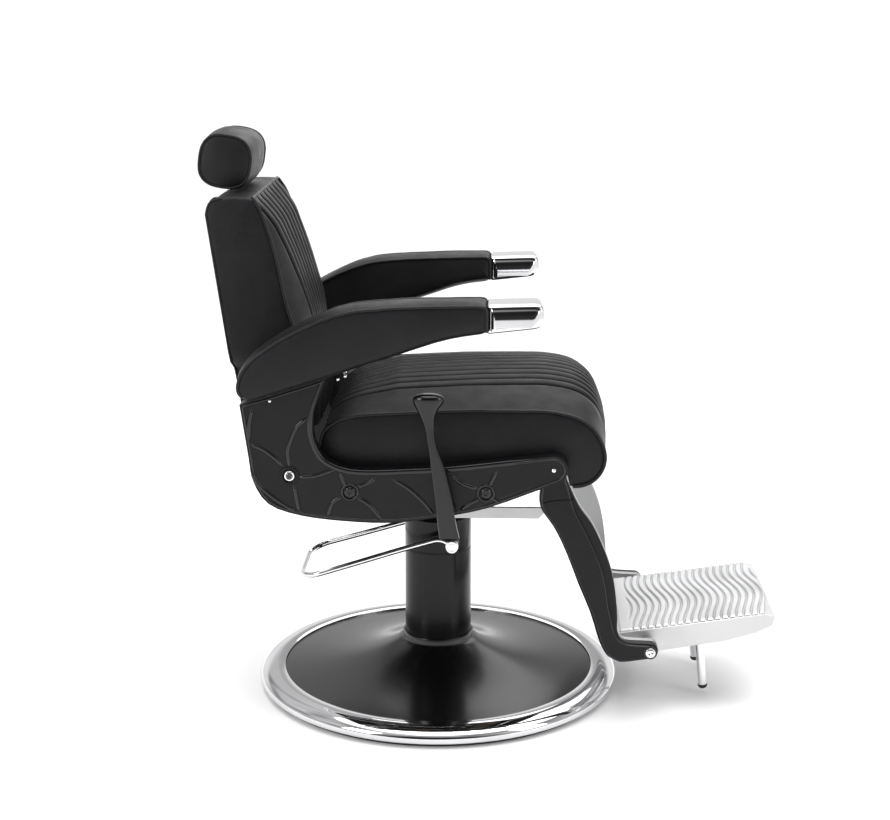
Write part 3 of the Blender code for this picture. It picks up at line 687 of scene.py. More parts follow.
def seat_stations():
    """Places across the seat, closer together at its stitched lines, leg pockets and side seams."""
    sides = [SEAT_BAND + gap for gap in (0.0022, 0.005, 0.0085, 0.0125, 0.0175, 0.0235)]
    sides += [POCKET_IN - POCKET_EDGE, POCKET_IN, 0.172, 0.184, 0.196, POCKET_OUT, POCKET_OUT + POCKET_EDGE]
    sides += [0.216, 0.2215, 0.2265, 0.2305, 0.2335, 0.2358, SEAT_HALF]
    return [-y for y in reversed(sides)] + flute_stations(SEAT_BAND, SEAT_FLUTES) + sides


def seat_lift(run, i, y, left):
    """How far the cover stands off the side seam's line: the dome of the foam and its flutes."""
    x = run[i][0]
    across = abs(y)
    share = i / (len(run) - 1)
    fade = min(1.0, share / 0.06, (1 - share) / 0.05)
    rear = min(1.0, max(0.25, (x + 0.215) / 0.15)) if left.x < 0.75 else 1.0
    fuller = 0.8 + 0.13 * ramp(x, -0.05, 0.18)
    rise = (0.004 + 0.032 * fuller * max(0.0, left.y) ** 1.1) * rear * min(1.0, fade + 0.15)
    lift = rise * max(0.0, 1 - (across / SEAT_HALF) ** 2.3)
    if across <= SEAT_BAND:
        return lift + fade * flute((y / SEAT_BAND + 1) / 2 * SEAT_FLUTES, SEAT_DEPTH)
    return lift - fade * SEAT_DEPTH * max(0.0, 1 - (across - SEAT_BAND) / 0.016) ** 2.6


def seat_painted_shade(place):
    """Painted shade on the seat: dark lines in its flutes and along the band's edges, and a fainter shade
    over the bolsters' wrapped tops, fading out at the side faces.
    """
    across = abs(place.y)
    if across > SEAT_BAND:
        # painted shade over each bolster's top, which fades out at the side face
        bolster = 0.42 * ramp(across, SEAT_HALF, SEAT_HALF - 0.004)
        return max(bolster, eased(ramp(across, SEAT_BAND + 0.012, SEAT_BAND)))
    return in_groove((place.y / SEAT_BAND + 1) / 2 * SEAT_FLUTES)


def seat_section(run, y):
    """The seat's outline at one place across; pockets under its nose leave room for the legs."""
    shaft_groove = [(0.23, 0.44), (0.223, 0.47), (0.202, 0.4905), (0.181, 0.47), (0.174, 0.461)]
    leg_pocket = [(0.234, 0.485), (0.229, 0.506), (0.197, 0.507), (0.166, 0.506), (0.166, 0.48)]
    pan_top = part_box("seat_pan")[1].z + CLEAR
    pocket = min(ramp(abs(y), POCKET_IN - POCKET_EDGE, POCKET_IN),
                 ramp(abs(y), POCKET_OUT + POCKET_EDGE, POCKET_OUT))
    section = []
    for i, (x, z) in enumerate(run):
        left = left_of(run, i)
        lift = seat_lift(run, i, y, left)
        place = Vector((x + left.x * lift, z + left.y * lift))
        over_leg = 0.4525 + 0.83 * (0.265 - place.x)
        if place.x > 0.225 and place.y < over_leg:
            place.y += pocket * (over_leg - place.y)
        section.append((place.x, y, place.y))
    for solid, open_place in zip(shaft_groove, leg_pocket):
        x, z = (a + (b - a) * pocket for a, b in zip(solid, open_place))
        section.append((x, y, z))
    return section + [(x, y, pan_top) for x in [0.166 - 0.031 * step for step in range(11)] + [-0.178]]


def make_seat():
    run = seat_run()
    sections = [seat_section(run, y) for y in seat_stations()]

    def core(point):
        return Vector((min(max(point.x, -0.132), 0.232), point.y, 0.5125))

    seat = upholstered("seat_upholstery", sections, core, 0.006, "seat_frame", ["seat_cushion"])
    store_painted_shade(seat, seat_painted_shade)
    for side, sign in SIDES:
        seam = [(x, sign * SEAT_HALF, z) for x, z in run]
        piping("seat_piping_" + side, seam, 0.0028, "seat_frame", seat)
    hem = [section[len(run) - 1] for section in sections]
    front = [place for place in hem if abs(place[1]) < POCKET_IN - 0.003]
    piping("seat_piping_front", even(front, 60, False), 0.0024, "seat_frame", seat)


def back_half_width(z):
    """The back narrows upwards, and steps in below the armrests to pass between the frames."""
    wide = 0.1655 + 0.123 * (0.9 - z)
    if z > 0.644:
        return wide
    return 0.1675 + (wide - 0.1675) * eased(ramp(z, 0.619, 0.644))


def panel_half_width(z):
    """The fluted panel fills the back at the top and leaves a bolster each side lower down."""
    share = ramp(z, 0.902, 0.7)
    return min(0.157 - 0.054 * share * (1.35 - 0.35 * share), back_half_width(z) - 0.004)


BACK_FLUTES = 8
SHELL_FRONT = -0.0008


def on_back(along, ahead):
    """The X-Z place so far up the back from its foot, and so far in front of its rear plane."""
    place = BACK_FOOT + BACK_UP * along + BACK_AHEAD * ahead
    return place.x, place.y


def across_back(side, share, half, inner):
    """A place across the fluted panel, or across the bolster at one side of it."""
    return side * (inner + (half - inner) * share) if side else share * inner


def back_lift(z, side, share, near_top):
    """How far the front cover stands off its line at one height and place across."""
    depth = 0.0102
    forward = 0.011 * eased(min(ramp(z, 0.912, 0.85), ramp(z, 0.64, 0.715)))
    if side == 0:
        return flute((share + 1) / 2 * BACK_FLUTES, depth) * near_top + forward + 0.0015 * near_top
    swell = 0.016 * eased(ramp(z, 0.915, 0.715))
    groove = max(0.0, 1 - share * (back_half_width(z) - panel_half_width(z)) / 0.014) ** 2.6
    lift = forward * (1 - share) ** 1.2 - depth * groove * near_top - swell * share**2.2
    return lift + 0.0015 * near_top


def back_section(face, rest, side, share):
    """The back's outline at one place across: its fluted face, then its top, rear and bottom."""
    section = []
    for i, (x, z) in enumerate(face):
        left = left_of(face, i)
        lift = back_lift(z, side, share, min(1.0, (len(face) - 1 - i) / 5))
        y = across_back(side, share, back_half_width(z), panel_half_width(z))
        section.append((x - left.x * lift, y, z - left.y * lift))
    for x, z in rest:
        half = back_half_width(z)
        inner = min(panel_half_width(min(z, 0.905)), half - 0.004)
        section.append((x, across_back(side, share, half, inner), z))
    return section


def back_painted_shade(place):
    """Painted shade on the back's fluted face alone: dark lines in its flutes and beside the panel's edges.
    """
    ahead = (Vector((place.x, place.z)) - BACK_FOOT).dot(BACK_AHEAD)
    if ahead < 0.012 or place.x < -0.306 or place.z > 0.9088:
        return 0.0
    inner = panel_half_width(place.z)
    across = abs(place.y)
    if across > inner:
        return eased(ramp(across, inner + 0.01, inner))
    return in_groove((place.y / inner + 1) / 2 * BACK_FLUTES)


def make_back():
    face = smooth_line([(-0.201, 0.516), (-0.1985, 0.6), (-0.209, 0.65), (-0.222, 0.7),
                        (-0.237, 0.75), (-0.255, 0.805), (-0.2785, 0.865), (-0.29, 0.89),
                        (-0.301, 0.9085)], 130)
    top_rear = on_back(0.374, SHELL_FRONT)
    top = curve_through([(-0.303, 0.9095), (-0.315, 0.911), (-0.342, 0.9108), (-0.362, 0.908),
                         (-0.3745, 0.901), top_rear], 4)
    length = (Vector(top_rear) - Vector(on_back(0.0, SHELL_FRONT))).length
    rear = [on_back(length * (1 - step / 24), SHELL_FRONT) for step in range(1, 25)]
    rest = top + rear + [(-0.27, 0.513), (-0.23, 0.5125)]
    bolster = [step / 16 for step in range(1, 17)]
    stations = [(-1, share) for share in reversed(bolster)]
    stations += [(0, share) for share in flute_stations(1.0, BACK_FLUTES)]
    stations += [(1, share) for share in bolster]
    sections = [back_section(face, rest, side, share) for side, share in stations]

    def core(point):
        z = min(max(point.z, 0.56), 0.872)
        x = -0.262 - 0.071 * (z - 0.56) / 0.312
        return Vector((x, math.copysign(back_half_width(z), point.y), z))

    back = upholstered("back_upholstery", sections, core, 0.0035, "backrest", ["back_cushion"])
    store_painted_shade(back, back_painted_shade)
    pocket = [on_back(0.2, -0.01), on_back(0.2, 0.04), on_back(0.42, 0.04), on_back(0.42, -0.01)]
    cut_away(back, block_bm(pocket, -0.0262, 0.0262))
    for (side, sign), section in zip(SIDES, (sections[0], sections[-1])):
        seam = even(section[:len(face)], 90, False)
        piping("back_piping_" + side, seam, 0.0026, "backrest", back)
        edge = [(x, sign * back_half_width(z), z) for x, z in top[10:] + rear]
        piping("back_rear_piping_" + side, even(edge, 70, False), 0.002, "backrest")
    crest = [section[len(face)] for section in sections]
    piping("back_piping_top", even(crest, 90, False), 0.0026, "backrest", back)
    make_back_shell()


def make_back_shell():
    """The rear panel: leather over a board, a little domed, sewn round its edge."""
    length, foot, rise = 0.376, 0.006, 0.942
    rear, front = [], []
    for i in range(61):
        share = i / 60
        along = length * (foot + rise * share)
        rear.append([])
        for j in range(41):
            t = -1 + 2 * j / 40
            dome = (1 - t**4) * (1 - abs(2 * share - 1) ** 3.5)
            x, z = on_back(along, -0.0014 - 0.0056 * dome)
            rear[-1].append((x, t * (back_half_width(z) - 0.0045), z))
        x, z = on_back(along, 0.0025)
        front.append([(x, (-1 + 2 * j / 40) * (back_half_width(z) - 0.0045), z) for j in range(41)])
    piece("back_rear_panel", sheet_bm(rear, front), "leather", "backrest", ["back_shell"], sharp=50)


def make_headrest():
    half, cad_scale = 0.087, 0.86
    loop = side_loop("headrest_cushion", 1)
    middle = Vector((sum(x for x, _ in loop) / len(loop), sum(z for _, z in loop) / len(loop)))
    full = [tuple(middle + (Vector(place) - middle) / cad_scale) for place in loop]
    rim = anticlockwise(relaxed(even(full, 96), 2))
    sections = []
    for i in range(49):
        t = -1 + 2 * i / 48
        scale = 0.885 + 0.112 * (1 - abs(t) ** 2.8)
        section = []
        for x, z in rim:
            off = Vector((x, z)) - middle
            drawn_in = 0.035 * ramp(-off.y, 0, 0.03)
            section.append((middle.x + off.x * scale, t * half, middle.y + off.y * (scale - drawn_in)))
        sections.append(section)

    def core(point):
        return Vector((middle.x, point.y, middle.y))

    head = upholstered("headrest_upholstery", sections, core, 0.0082, "headrest", ["headrest_cushion"],
                       0.0006, 12)
    for (side, _), section in zip(SIDES, (sections[0], sections[-1])):
        piping("headrest_piping_" + side, section, 0.0023, "headrest", head, True)
    x, z = pivot("headrest_tilt")
    slot = [(x - 0.013, z + 0.012), (x + 0.015, z + 0.012), (x + 0.042, 0.86), (x - 0.018, 0.86)]
    cut_away(head, block_bm(slot, -0.0195, 0.0195))
    refined("headrest_post", "chrome", 0.0014)


def arm_seam(loop):
    """The part of an armrest's outline that is piped: from the rear round over the top to the front."""
    start = min(range(len(loop)), key=lambda i: loop[i][0] + 0.9 * loop[i][1])
    turned = loop[start:] + loop[:start]
    end = max(range(len(turned)), key=lambda i: turned[i][0] - 0.6 * turned[i][1])
    first, second = turned[:end + 1], [turned[0]] + turned[:end - 1:-1]
    return max(first, second, key=lambda run: sum(z for _, z in run) / len(run))


def make_arm_cap(side, sign):
    """A bright cap with rounded edges and crowned sides at the front of an armrest."""
    node = "arm_tip_" + side
    low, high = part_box(node)
    loop = outline_of(node, sign, 120, 3)
    round_off, crown = 0.007, 0.0056
    turns = [math.pi / 2 * step / 8 for step in range(9)]
    spans = [(round_off * (1 - math.sin(turn)), crown + round_off * (1 - math.cos(turn))) for turn in turns]
    places = [(inset, low.y + reach) for inset, reach in spans]
    places += [(inset, high.y - reach) for inset, reach in reversed(spans)]
    rows = [[(x, y, z) for x, z in inward(loop, inset)] for inset, y in places]

    def core(point):
        return Vector((min(max(point.x, low.x + 0.016), high.x - 0.022), point.y, low.z + 0.0125))

    piece("arm_cap_" + side, domed_bm(rows, core, crown, 14), "chrome", "seat_frame", [node], sharp=60)


def arm_core(loop, low, high):
    """Gives the point of an armrest's middle line that a point of its outline runs in to."""
    start, end = low.x + 0.04, high.x - 0.016
    middles = []
    for i in range(41):
        mark = start + (end - start) * i / 40
        near = [z for _, z in sorted(loop, key=lambda place: abs(place[0] - mark))[:10]]
        middles.append(((max(near) + min(near)) / 2,))
    heights = [height for height, in relaxed(middles, 2, False)]

    def core(point):
        x = min(max(point.x, start), end)
        at = min(39, int((x - start) / (end - start) * 40))
        share = (x - start) / (end - start) * 40 - at
        return Vector((x, point.y, heights[at] * (1 - share) + heights[at + 1] * share))

    return core


def arm_section(loop, t, y, nose):
    """An armrest's padded outline; t runs from -1 on one side to 1 on the other."""
    section = []
    for i, (x, z) in enumerate(loop):
        out = -left_of(loop, i, True)
        rise = 0.0058 if out.y > 0.1 else 0.0012
        below = ramp(out.y, -0.15, -0.6)
        dome = rise * (1 - abs(t) ** 2.4) * ramp(x, nose, nose - 0.012)
        lift = dome - 0.0012 - 0.0072 * below * abs(t) ** 5
        section.append((x + out.x * lift, y, z + out.y * lift))
    return section


def make_arms():
    for side, sign in SIDES:
        node = "arm_pad_" + side
        low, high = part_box(node)
        middle, half = (low.y + high.y) / 2, (high.y - low.y) / 2
        loop = outline_of(node, sign, 220, 2)
        places = [-1 + 2 * i / 28 for i in range(29)]
        sections = [arm_section(loop, t, middle + t * half * 0.985, high.x) for t in places]
        pad = upholstered("arm_upholstery_" + side, sections, arm_core(loop, low, high), 0.0038,
                          "seat_frame", [node], 0.0007)
        # Painted shade over the leather wrapped round the pad, fading out towards its side panels.
        store_painted_shade(pad, lambda place: 0.42 * ramp(abs(place.y - middle), half, half - 0.004))
        inner, outer = inner_outer(node, sign)
        for where, y in (("outer", outer), ("inner", inner)):
            seam = [(x, y, z) for x, z in arm_seam(loop)]
            piping(f"arm_piping_{where}_{side}", seam, 0.0026, "seat_frame", pad)
        make_arm_cap(side, sign)
        refined("arm_bracket_" + side, "cast", 0.0008)
        head = [(0, 0), (0.0028, 0), (0.0028, 0.002), (0.002, 0.003), (0, 0.0033)]
        for number, centre in enumerate(((-0.153, 0.6275), (-0.141, 0.633), (-0.266, 0.59))):
            stud(f"arm_bolt_{side}_{number}", head, sign * 0.2738, sign, "chrome", "seat_frame", centre, 20,
                 0.0005)


# ---------------------------------------------------------------- base, column and pedal


def make_dome():
    """The pressed cover that sweeps up to the column, with a rolled collar round its neck."""
    edge, neck, steps = 0.2828, 0.0605, 48
    outside = []
    for i in range(steps + 1):
        radius = edge + (0.07 - edge) * i / steps
        share = (edge - radius) / (edge - neck)
        outside.append((radius, 0.03 + 0.058 * (0.4 * share + 0.6 * share**3.6)))
    inside = [(radius - 0.001, height - 0.0024) for radius, height in outside[::-4]]
    collar = [(0.0662, 0.083), (0.0652, 0.087), (0.0648, 0.0925), (0.064, 0.0945), (0.0612, 0.095),
              (0.061, 0.082)]
    lathe("base_dome_spun", outside + collar + inside, "satin", "base", ["base_dome"], segments=192, ease=0)


def make_base():
    ring = curve_through([(0.2838, 0.033), (0.29, 0.0342), (0.3, 0.0345), (0.311, 0.033),
                          (0.32, 0.0296), (0.327, 0.024), (0.3298, 0.017), (0.3275, 0.01),
                          (0.322, 0.0062)], 5)
    ring += [(0.318, 0.005), (0.2838, 0.005)]
    lathe("base_ring", ring, "chrome", "base", ["base_trim_ring"], segments=192, ease=0)
    make_dome()
    low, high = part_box("column_cover")
    lathe("column_tube", tube(0.0575, 0.0605, low.z, high.z), "column", "base", ["column_cover"],
          segments=128, ease=0.0009)
    low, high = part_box("pump_head")
    lathe("pump_head_shell", [(0.0234, high.z), (0.0605, high.z), (0.0605, low.z), (0.054, low.z),
                              (0.054, 0.306), (0.0234, 0.306)],
          "column", "base", ["pump_head"], segments=128, ease=0.0016)
    for side, sign in SIDES:
        stud("pedal_boss_" + side, [(0, 0.056), (0.0125, 0.056), (0.012, 0.0755), (0, 0.0755)], 0, sign,
             "column", "base", pivot("pedal_press"), 48, 0.0012)
    lathe("column_seam", tube(0.0585, 0.06, 0.2563, 0.2577), "rubber", "base", segments=96, ease=0)
    lathe("base_plate_turned", [(0, 0.0), (0.286, 0.0), (0.286, 0.0045), (0.12, 0.012), (0, 0.012)],
          "steel", "base", ["base_plate"], segments=128)
    lathe("base_floor_pad", [(0.2865, 0), (0.314, 0), (0.316, 0.0045), (0.2865, 0.0045)],
          "rubber", "base", ["base_floor_ring"], segments=160, ease=0.0005)
    low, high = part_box("ram_wiper_seal")
    lathe("ram_wiper", [(0.0226, low.z), (0.032, low.z), (0.03, high.z), (0.0226, high.z)],
          "rubber", "base", ["ram_wiper_seal"])
    low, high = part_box("ram")
    lathe("ram_rod", tube(0, 0.0222, low.z, high.z), "ram", "ram", ["ram"], segments=96, ease=0.0018)


def pedal_path(side_y):
    """The pedal's bent rod: from one eye back and down, round the foot end, and up to the other."""
    x, z = pivot("pedal_press")
    corner, splay, corner_x, steps = 0.046, 0.0095, -0.208, 13
    near = [(x - 0.006, z + 0.0035), (x - 0.018, z + 0.0095), (x - 0.03, z + 0.0098), (x - 0.048, z + 0.005),
            (x - 0.1, z - 0.01), (x - 0.175, z - 0.033), (x - 0.236, z - 0.0513)]
    half = [(a, -side_y - splay * ramp(a, x - 0.035, corner_x), b) for a, b in curve_through(near, 6)]
    for step in range(1, steps):
        turn = math.pi / 2 * step / steps
        reach = 0.036 * math.sin(turn)
        y = -side_y - splay + corner * (1 - math.cos(turn))
        half.append((corner_x - reach, y, 0.2297 - 0.3 * reach))
    half.append((-0.244, -side_y - splay + corner + 0.003, 0.2189))
    return half + [(a, -b, c) for a, b, c in reversed(half)]


def make_pedal():
    side_y = 0.0822
    place = pivot("pedal_press")
    bar("pedal_loop", even(pedal_path(side_y), 220, False), 0.0052, "chrome", "foot_pedal", ["pedal_rod"],
        sides=20)
    eye = tube(0.0052, 0.0115, -0.0055, 0.0055)
    screw = [(0, 0.0885), (0.0092, 0.0885), (0.0092, 0.0915), (0.0076, 0.0935), (0.0064, 0.094),
             (0.0059, 0.0905), (0, 0.0905)]
    # A thin black hexagon in the screw's dished top: painted shade standing in for its hex socket.
    socket = tube(0, 0.0055, 0.0904, 0.0916)
    for side, sign in SIDES:
        stud("pedal_eye_" + side, eye, sign * side_y, 1, "chrome", "foot_pedal", place, 40, 0.0014)
        stud("pedal_screw_" + side, screw, 0, sign, "chrome", "foot_pedal", place, 40, 0.0008)
        stud("pedal_socket_shade_" + side, socket, 0, sign, "grip", "foot_pedal", place, 6, 0)


# ---------------------------------------------------------------- seat frame


def rib(name, points, y_face, sign, body, width=0.0038, look="moulding"):
    """A raised moulding on a flat casting face, tapering at both ends."""
    path = [(x, y_face - sign * SUNK, z) for x, z in smooth_line(points, 44)]

    def size(share):
        return width * min(1.0, 0.3 + 6.0 * min(share, 1 - share))

    bar(name, path, size, look, body, squash=0.8)


FRAME_RIBS = (
    ((-0.3007, 0.5154), (-0.282, 0.5089), (-0.2611, 0.4939), (-0.2465, 0.4789)),
    ((-0.2361, 0.4768), (-0.2382, 0.5046), (-0.2319, 0.5261), (-0.2215, 0.5475), (-0.2027, 0.5626)),
    ((-0.2215, 0.4605), (-0.1944, 0.4626), (-0.1736, 0.4695), (-0.159, 0.4746)),
    ((-0.2286, 0.4467), (-0.2257, 0.4274), (-0.2215, 0.4017)),
    ((-0.3007, 0.4746), (-0.2924, 0.4532), (-0.2778, 0.436), (-0.2528, 0.4167), (-0.2236, 0.3995)),
    ((-0.2953, 0.5776), (-0.3007, 0.5518), (-0.3028, 0.5218)),
    ((-0.1435, 0.4467), (-0.1485, 0.4596), (-0.1527, 0.4682)),
    ((-0.1243, 0.4446), (-0.1089, 0.4497), (-0.0922, 0.4596)),
    ((-0.1485, 0.4274), (-0.1652, 0.4167), (-0.1735, 0.3931)),
    ((-0.1243, 0.4266), (-0.1026, 0.4124), (-0.0839, 0.3888)),
    ((-0.0651, 0.4596), (-0.0359, 0.4403), (-0.013, 0.4188), (0.0037, 0.397)),
    ((0.0287, 0.4695), (0.0496, 0.4523), (0.0767, 0.4429)),
    ((0.0954, 0.4472), (0.1017, 0.4609), (0.1079, 0.4738)),
    ((0.0808, 0.4266), (0.0641, 0.418), (0.0475, 0.406)),
    ((0.0996, 0.4287), (0.1142, 0.419)),
)
FRAME_RIM = (
    (0.176, 0.4955), (0.148, 0.4905), (0.115, 0.486), (0.029, 0.476), (-0.05, 0.471),
    (-0.112, 0.469), (-0.152, 0.4745), (-0.184, 0.4935), (-0.2, 0.533), (-0.198, 0.572),
    (-0.186, 0.6),
)


def rim_radius(share):
    """The rim fades out towards both ends."""
    return 0.0048 * min(1.0, 0.15 + 9.0 * min(share, 1 - share))


def make_frame_mouldings(side, sign, y):
    """The cast relief on one side frame's outer face."""
    node = "side_frame_" + side
    edge = relaxed(inward(outline_of(node, sign, 300, 0), 0.0048), 3)
    hoop("frame_lip_" + side, edge, 0.0021, y - sign * SUNK, "moulding", "seat_frame")
    rim = [(x, y - sign * 0.0006, z) for x, z in smooth_line(FRAME_RIM, 120)]
    bar("frame_rim_" + side, rim, rim_radius, "moulding", "seat_frame", sides=16, squash=0.6)
    button = [(0, -0.004), (0.005, -0.004), (0.005, 0.0003), (0.0092, 0.0003), (0.009, 0.003),
              (0.0066, 0.0048), (0.003, 0.005), (0.0027, 0.0034), (0, 0.0032)]
    for end in ("rear_", "front_"):
        bolt = "frame_bolt_" + end + side
        place = middle_of(bolt)
        stud("frame_button_" + end + side, button, y, sign, "grip", "seat_frame", place, 40, 0.0007, [bolt])
        hoop("frame_collar_" + end + side, circle(place, 0.0132, 48), 0.0024, y + sign * 0.0003, "moulding",
             "seat_frame")
    for number, points in enumerate(FRAME_RIBS):
        rib(f"frame_rib_{side}_{number}", points, y, sign, "seat_frame")


def make_frame_pivots(side, sign, y):
    """The pivots of the back and of the legs, as they show on one side frame."""
    rear, front = pivot("back_recline"), pivot("legs_raise")
    bolt = [(0, 0.17), (0.0078, 0.17), (0.0078, 0.1805), (0.012, 0.1805), (0.012, 0.2468),
            (0.0078, 0.2468), (0.0078, 0.2748), (0.009, 0.275), (0.009, 0.2772), (0.008, 0.2786),
            (0.006, 0.279), (0.0054, 0.2764), (0, 0.2764)]
    stud("back_pivot_bolt_" + side, bolt, 0, sign, "chrome", "seat_frame", rear, 48, 0.0006,
         ["back_pivot_stud_" + side])
    # A thin black hexagon in the bolt's recessed top: painted shade standing in for its hex socket.
    stud("back_pivot_socket_shade_" + side, tube(0, 0.0051, 0.2762, 0.2776), 0, sign, "grip", "seat_frame", rear,
         6, 0)
    hoop("back_pivot_boss_" + side, circle(rear, 0.0135, 48), 0.0029, y + sign * 0.0003, "cast",
         "seat_frame")
    stud("leg_pivot_cap_" + side, tube(0, 0.0076, -0.003, 0.0006), y, sign, "cast", "seat_frame", front, 40,
         0.0005)
    stud("leg_pivot_screw_" + side, [(0, 0), (0.0036, 0), (0.0034, 0.0018), (0.002, 0.0026), (0, 0.0028)],
         y, sign, "chrome", "seat_frame", front, 32, 0.0004)


def make_frames():
    for side, sign in SIDES:
        node = "side_frame_" + side
        refined(node, "cast", 0.0035, 4)
        outer = inner_outer(node, sign)[1]
        make_frame_mouldings(side, sign, outer)
        make_frame_pivots(side, sign, outer)
    low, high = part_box("leg_pivot_shaft")
    half = [(0, 0.27), (0.0055, 0.27), (0.0055, 0.247), ((high.z - low.z) / 2, 0.247)]
    stud("leg_pivot_rod", [(radius, -reach) for radius, reach in half] + half[::-1], 0, 1, "chrome",
         "seat_frame", pivot("legs_raise"), 40, 0.0004, ["leg_pivot_shaft"])
    for node in ("mount_plate", "cross_tube_front", "cross_tube_rear"):
        refined(node, "cast", 0.0014)
    refined("seat_pan", "plywood", 0.0016)
    low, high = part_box("swivel_hub")
    lathe("swivel_hub_turned", [(0, 0.402), (0.0226, 0.402), (0.0226, low.z), (0.04, low.z),
                                (0.04, high.z), (0, high.z)],
          "satin", "seat_frame", ["swivel_hub"], segments=96, ease=0.0016)
    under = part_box("mount_plate")[0].z
    head = tube(0, 0.0085, under + 0.002, under - 0.006)
    for number, place in enumerate(((0.075, 0.075), (0.075, -0.075), (-0.12, 0.075), (-0.12, -0.075))):
        lathe(f"plate_bolt_{number}", head, "steel", "seat_frame", (), place, segments=6, ease=0.0008)


# Height, middle and half width of the recline lever, from its lower end up to its grip.
LEVER_SHAPE = (
    (0.364, 0.0303, 0.0166), (0.3893, 0.0258, 0.0152), (0.4135, 0.0227, 0.0146),
    (0.4376, 0.0194, 0.014), (0.4617, 0.0151, 0.0127), (0.4738, 0.013, 0.0122),
    (0.4859, 0.0106, 0.0112), (0.4979, 0.008, 0.0097), (0.51, 0.0049, 0.008),
    (0.522, 0.0021, 0.007), (0.5341, -0.0001, 0.0066), (0.5462, -0.0015, 0.007),
    (0.5582, -0.0034, 0.0089), (0.5703, -0.0052, 0.0121), (0.5824, -0.0058, 0.0174),
    (0.5908, -0.0048, 0.023), (0.596, -0.0042, 0.0252), (0.601, -0.0038, 0.0252),
)


def make_lever():
    """A flat bar that narrows to a waist and flares into a rounded trumpet grip."""
    low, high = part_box("recline_lever")
    middle = (low.y + high.y) / 2
    bm = bmesh.new()
    rings = []
    for z, centre, wide in curve_through(LEVER_SHAPE, 4):
        deep = 0.0056 + 0.0086 * ramp(z, 0.55, 0.596) ** 1.4
        power = 0.42 + 0.56 * ramp(z, 0.53, 0.59)
        ring = []
        for across, along in circle((0, 0), 1.0, 48):
            a = math.copysign(abs(across) ** power, across)
            b = math.copysign(abs(along) ** power, along)
            ring.append(bm.verts.new((centre + wide * a, middle + deep * b, z)))
        rings.append(ring)
    z, centre, _ = LEVER_SHAPE[-1]
    for rise, shrink in ((0.0032, 0.93), (0.0058, 0.8), (0.0076, 0.6), (0.0086, 0.36), (0.009, 0.12)):
        places = [(centre + (vert.co.x - centre) * shrink, middle + (vert.co.y - middle) * shrink)
                  for vert in ring]
        rings.append([bm.verts.new((x, y, z + rise)) for x, y in places])
    join_and_cap(bm, rings)
    piece("lever_handle", bm, "grip", "recline_lever", ["recline_lever"], sharp=60)
    refined("lever_shaft", "cast", 0.0006)
    collar = [(0.007, -0.2752), (0.0128, -0.2752), (0.0128, -0.28), (0.0112, -0.287), (0.007, -0.287)]
    stud("lever_collar", collar, 0, 1, "cast", "recline_lever", pivot("lever_pull"), 48, 0.0008)


# ---------------------------------------------------------------- footrest


def flange(place):
    """A leg's raised panel stays close to the rear edge and leaves a bevelled flange in front."""
    x, z = place
    front = min(ramp(z, 0.148, 0.215), ramp(z, 0.428, 0.36))
    middle = 0.283 + (0.18 - z) * 0.35 if z < 0.4 else 0.21
    return 0.003 + (0.0125 * front if x > middle else 0.0)


def make_toe_screw(side, sign, y):
    """A cross-slotted screw head and its washer at a leg's toe."""
    toe = pivot("footplate_flip")
    stud("toe_washer_" + side, tube(0, 0.0118, -0.002, 0.0006), y, sign, "grip", "legs", toe, 40, 0.0004)
    head = [(0, -0.002), (0.0088, -0.002), (0.0086, 0.002), (0.0058, 0.0036), (0, 0.004)]
    screw = stud("toe_screw_" + side, head, y, sign, "chrome", "legs", toe, 48, 0.0006)
    half_long, half_wide = 0.0052, 0.0009
    for turn in (20, 110):
        along = Vector((math.cos(math.radians(turn)), math.sin(math.radians(turn))))
        across = Vector((-along.y, along.x))
        slot = [Vector(toe) + along * u * half_long + across * v * half_wide
                for u, v in ((-1, -1), (1, -1), (1, 1), (-1, 1))]
        cut_away(screw, block_bm(slot, y + sign * 0.0016, y + sign * 0.008))


def make_legs():
    for side, sign in SIDES:
        refined("leg_" + side, "aluminium", 0.0022, 4)
        node = "leg_cover_" + side
        inner, outer = inner_outer(node, sign)
        outline = outline_of(node, sign, 260, 3)
        base = outer - sign * 0.005
        shell = piece("leg_shell_" + side, block_bm(outline, inner, base), "cast", "legs", [node])
        ease_edges(shell, 0.0045, 5)
        raised = relaxed(inward(outline, flange), 4)
        panel = piece("leg_panel_" + side, block_bm(raised, base - sign * 0.001, outer), "cast", "legs")
        ease_edges(panel, 0.0016, 4)
        ridge = relaxed(inward(raised, 0.0016), 2)
        hoop("leg_ridge_" + side, ridge, 0.0013, outer - sign * SUNK, "moulding", "legs", 10)
        crease = [(0.183, 0.396), (0.2, 0.401), (0.222, 0.4035), (0.24, 0.4035)]
        rib("leg_crease_" + side, crease, outer, sign, "legs", 0.0018, "cast")
        bushing = tube(0.0094, 0.0135, -0.002, 0.0008)
        stud("leg_bushing_" + side, bushing, outer, sign, "cast", "legs", pivot("legs_raise"), 48, 0.0004)
        make_toe_screw(side, sign, outer)
        refined("link_bar_" + side, "aluminium", 0.001)
        refined("back_bracket_" + side, "cast", 0.001)
    refined("footplate_axle", "chrome", 0.0004)


def make_back_fittings():
    low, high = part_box("back_cross_bar")
    stud("back_cross_rod", tube(0, 0.009, low.y, high.y), 0, 1, "cast", "backrest",
         middle_of("back_cross_bar"), 40, 0.001, ["back_cross_bar"])
    knob = [(0, 0.0), (0.0048, 0.0), (0.005, 0.006), (0.013, 0.008), (0.013, 0.021), (0.0105, 0.025),
            (0, 0.0255)]
    stud("headrest_knob", knob, 0, 1, "grip", "backrest", middle_of("headrest_lock_knob"), 36, 0.0012,
         ["headrest_lock_knob"])


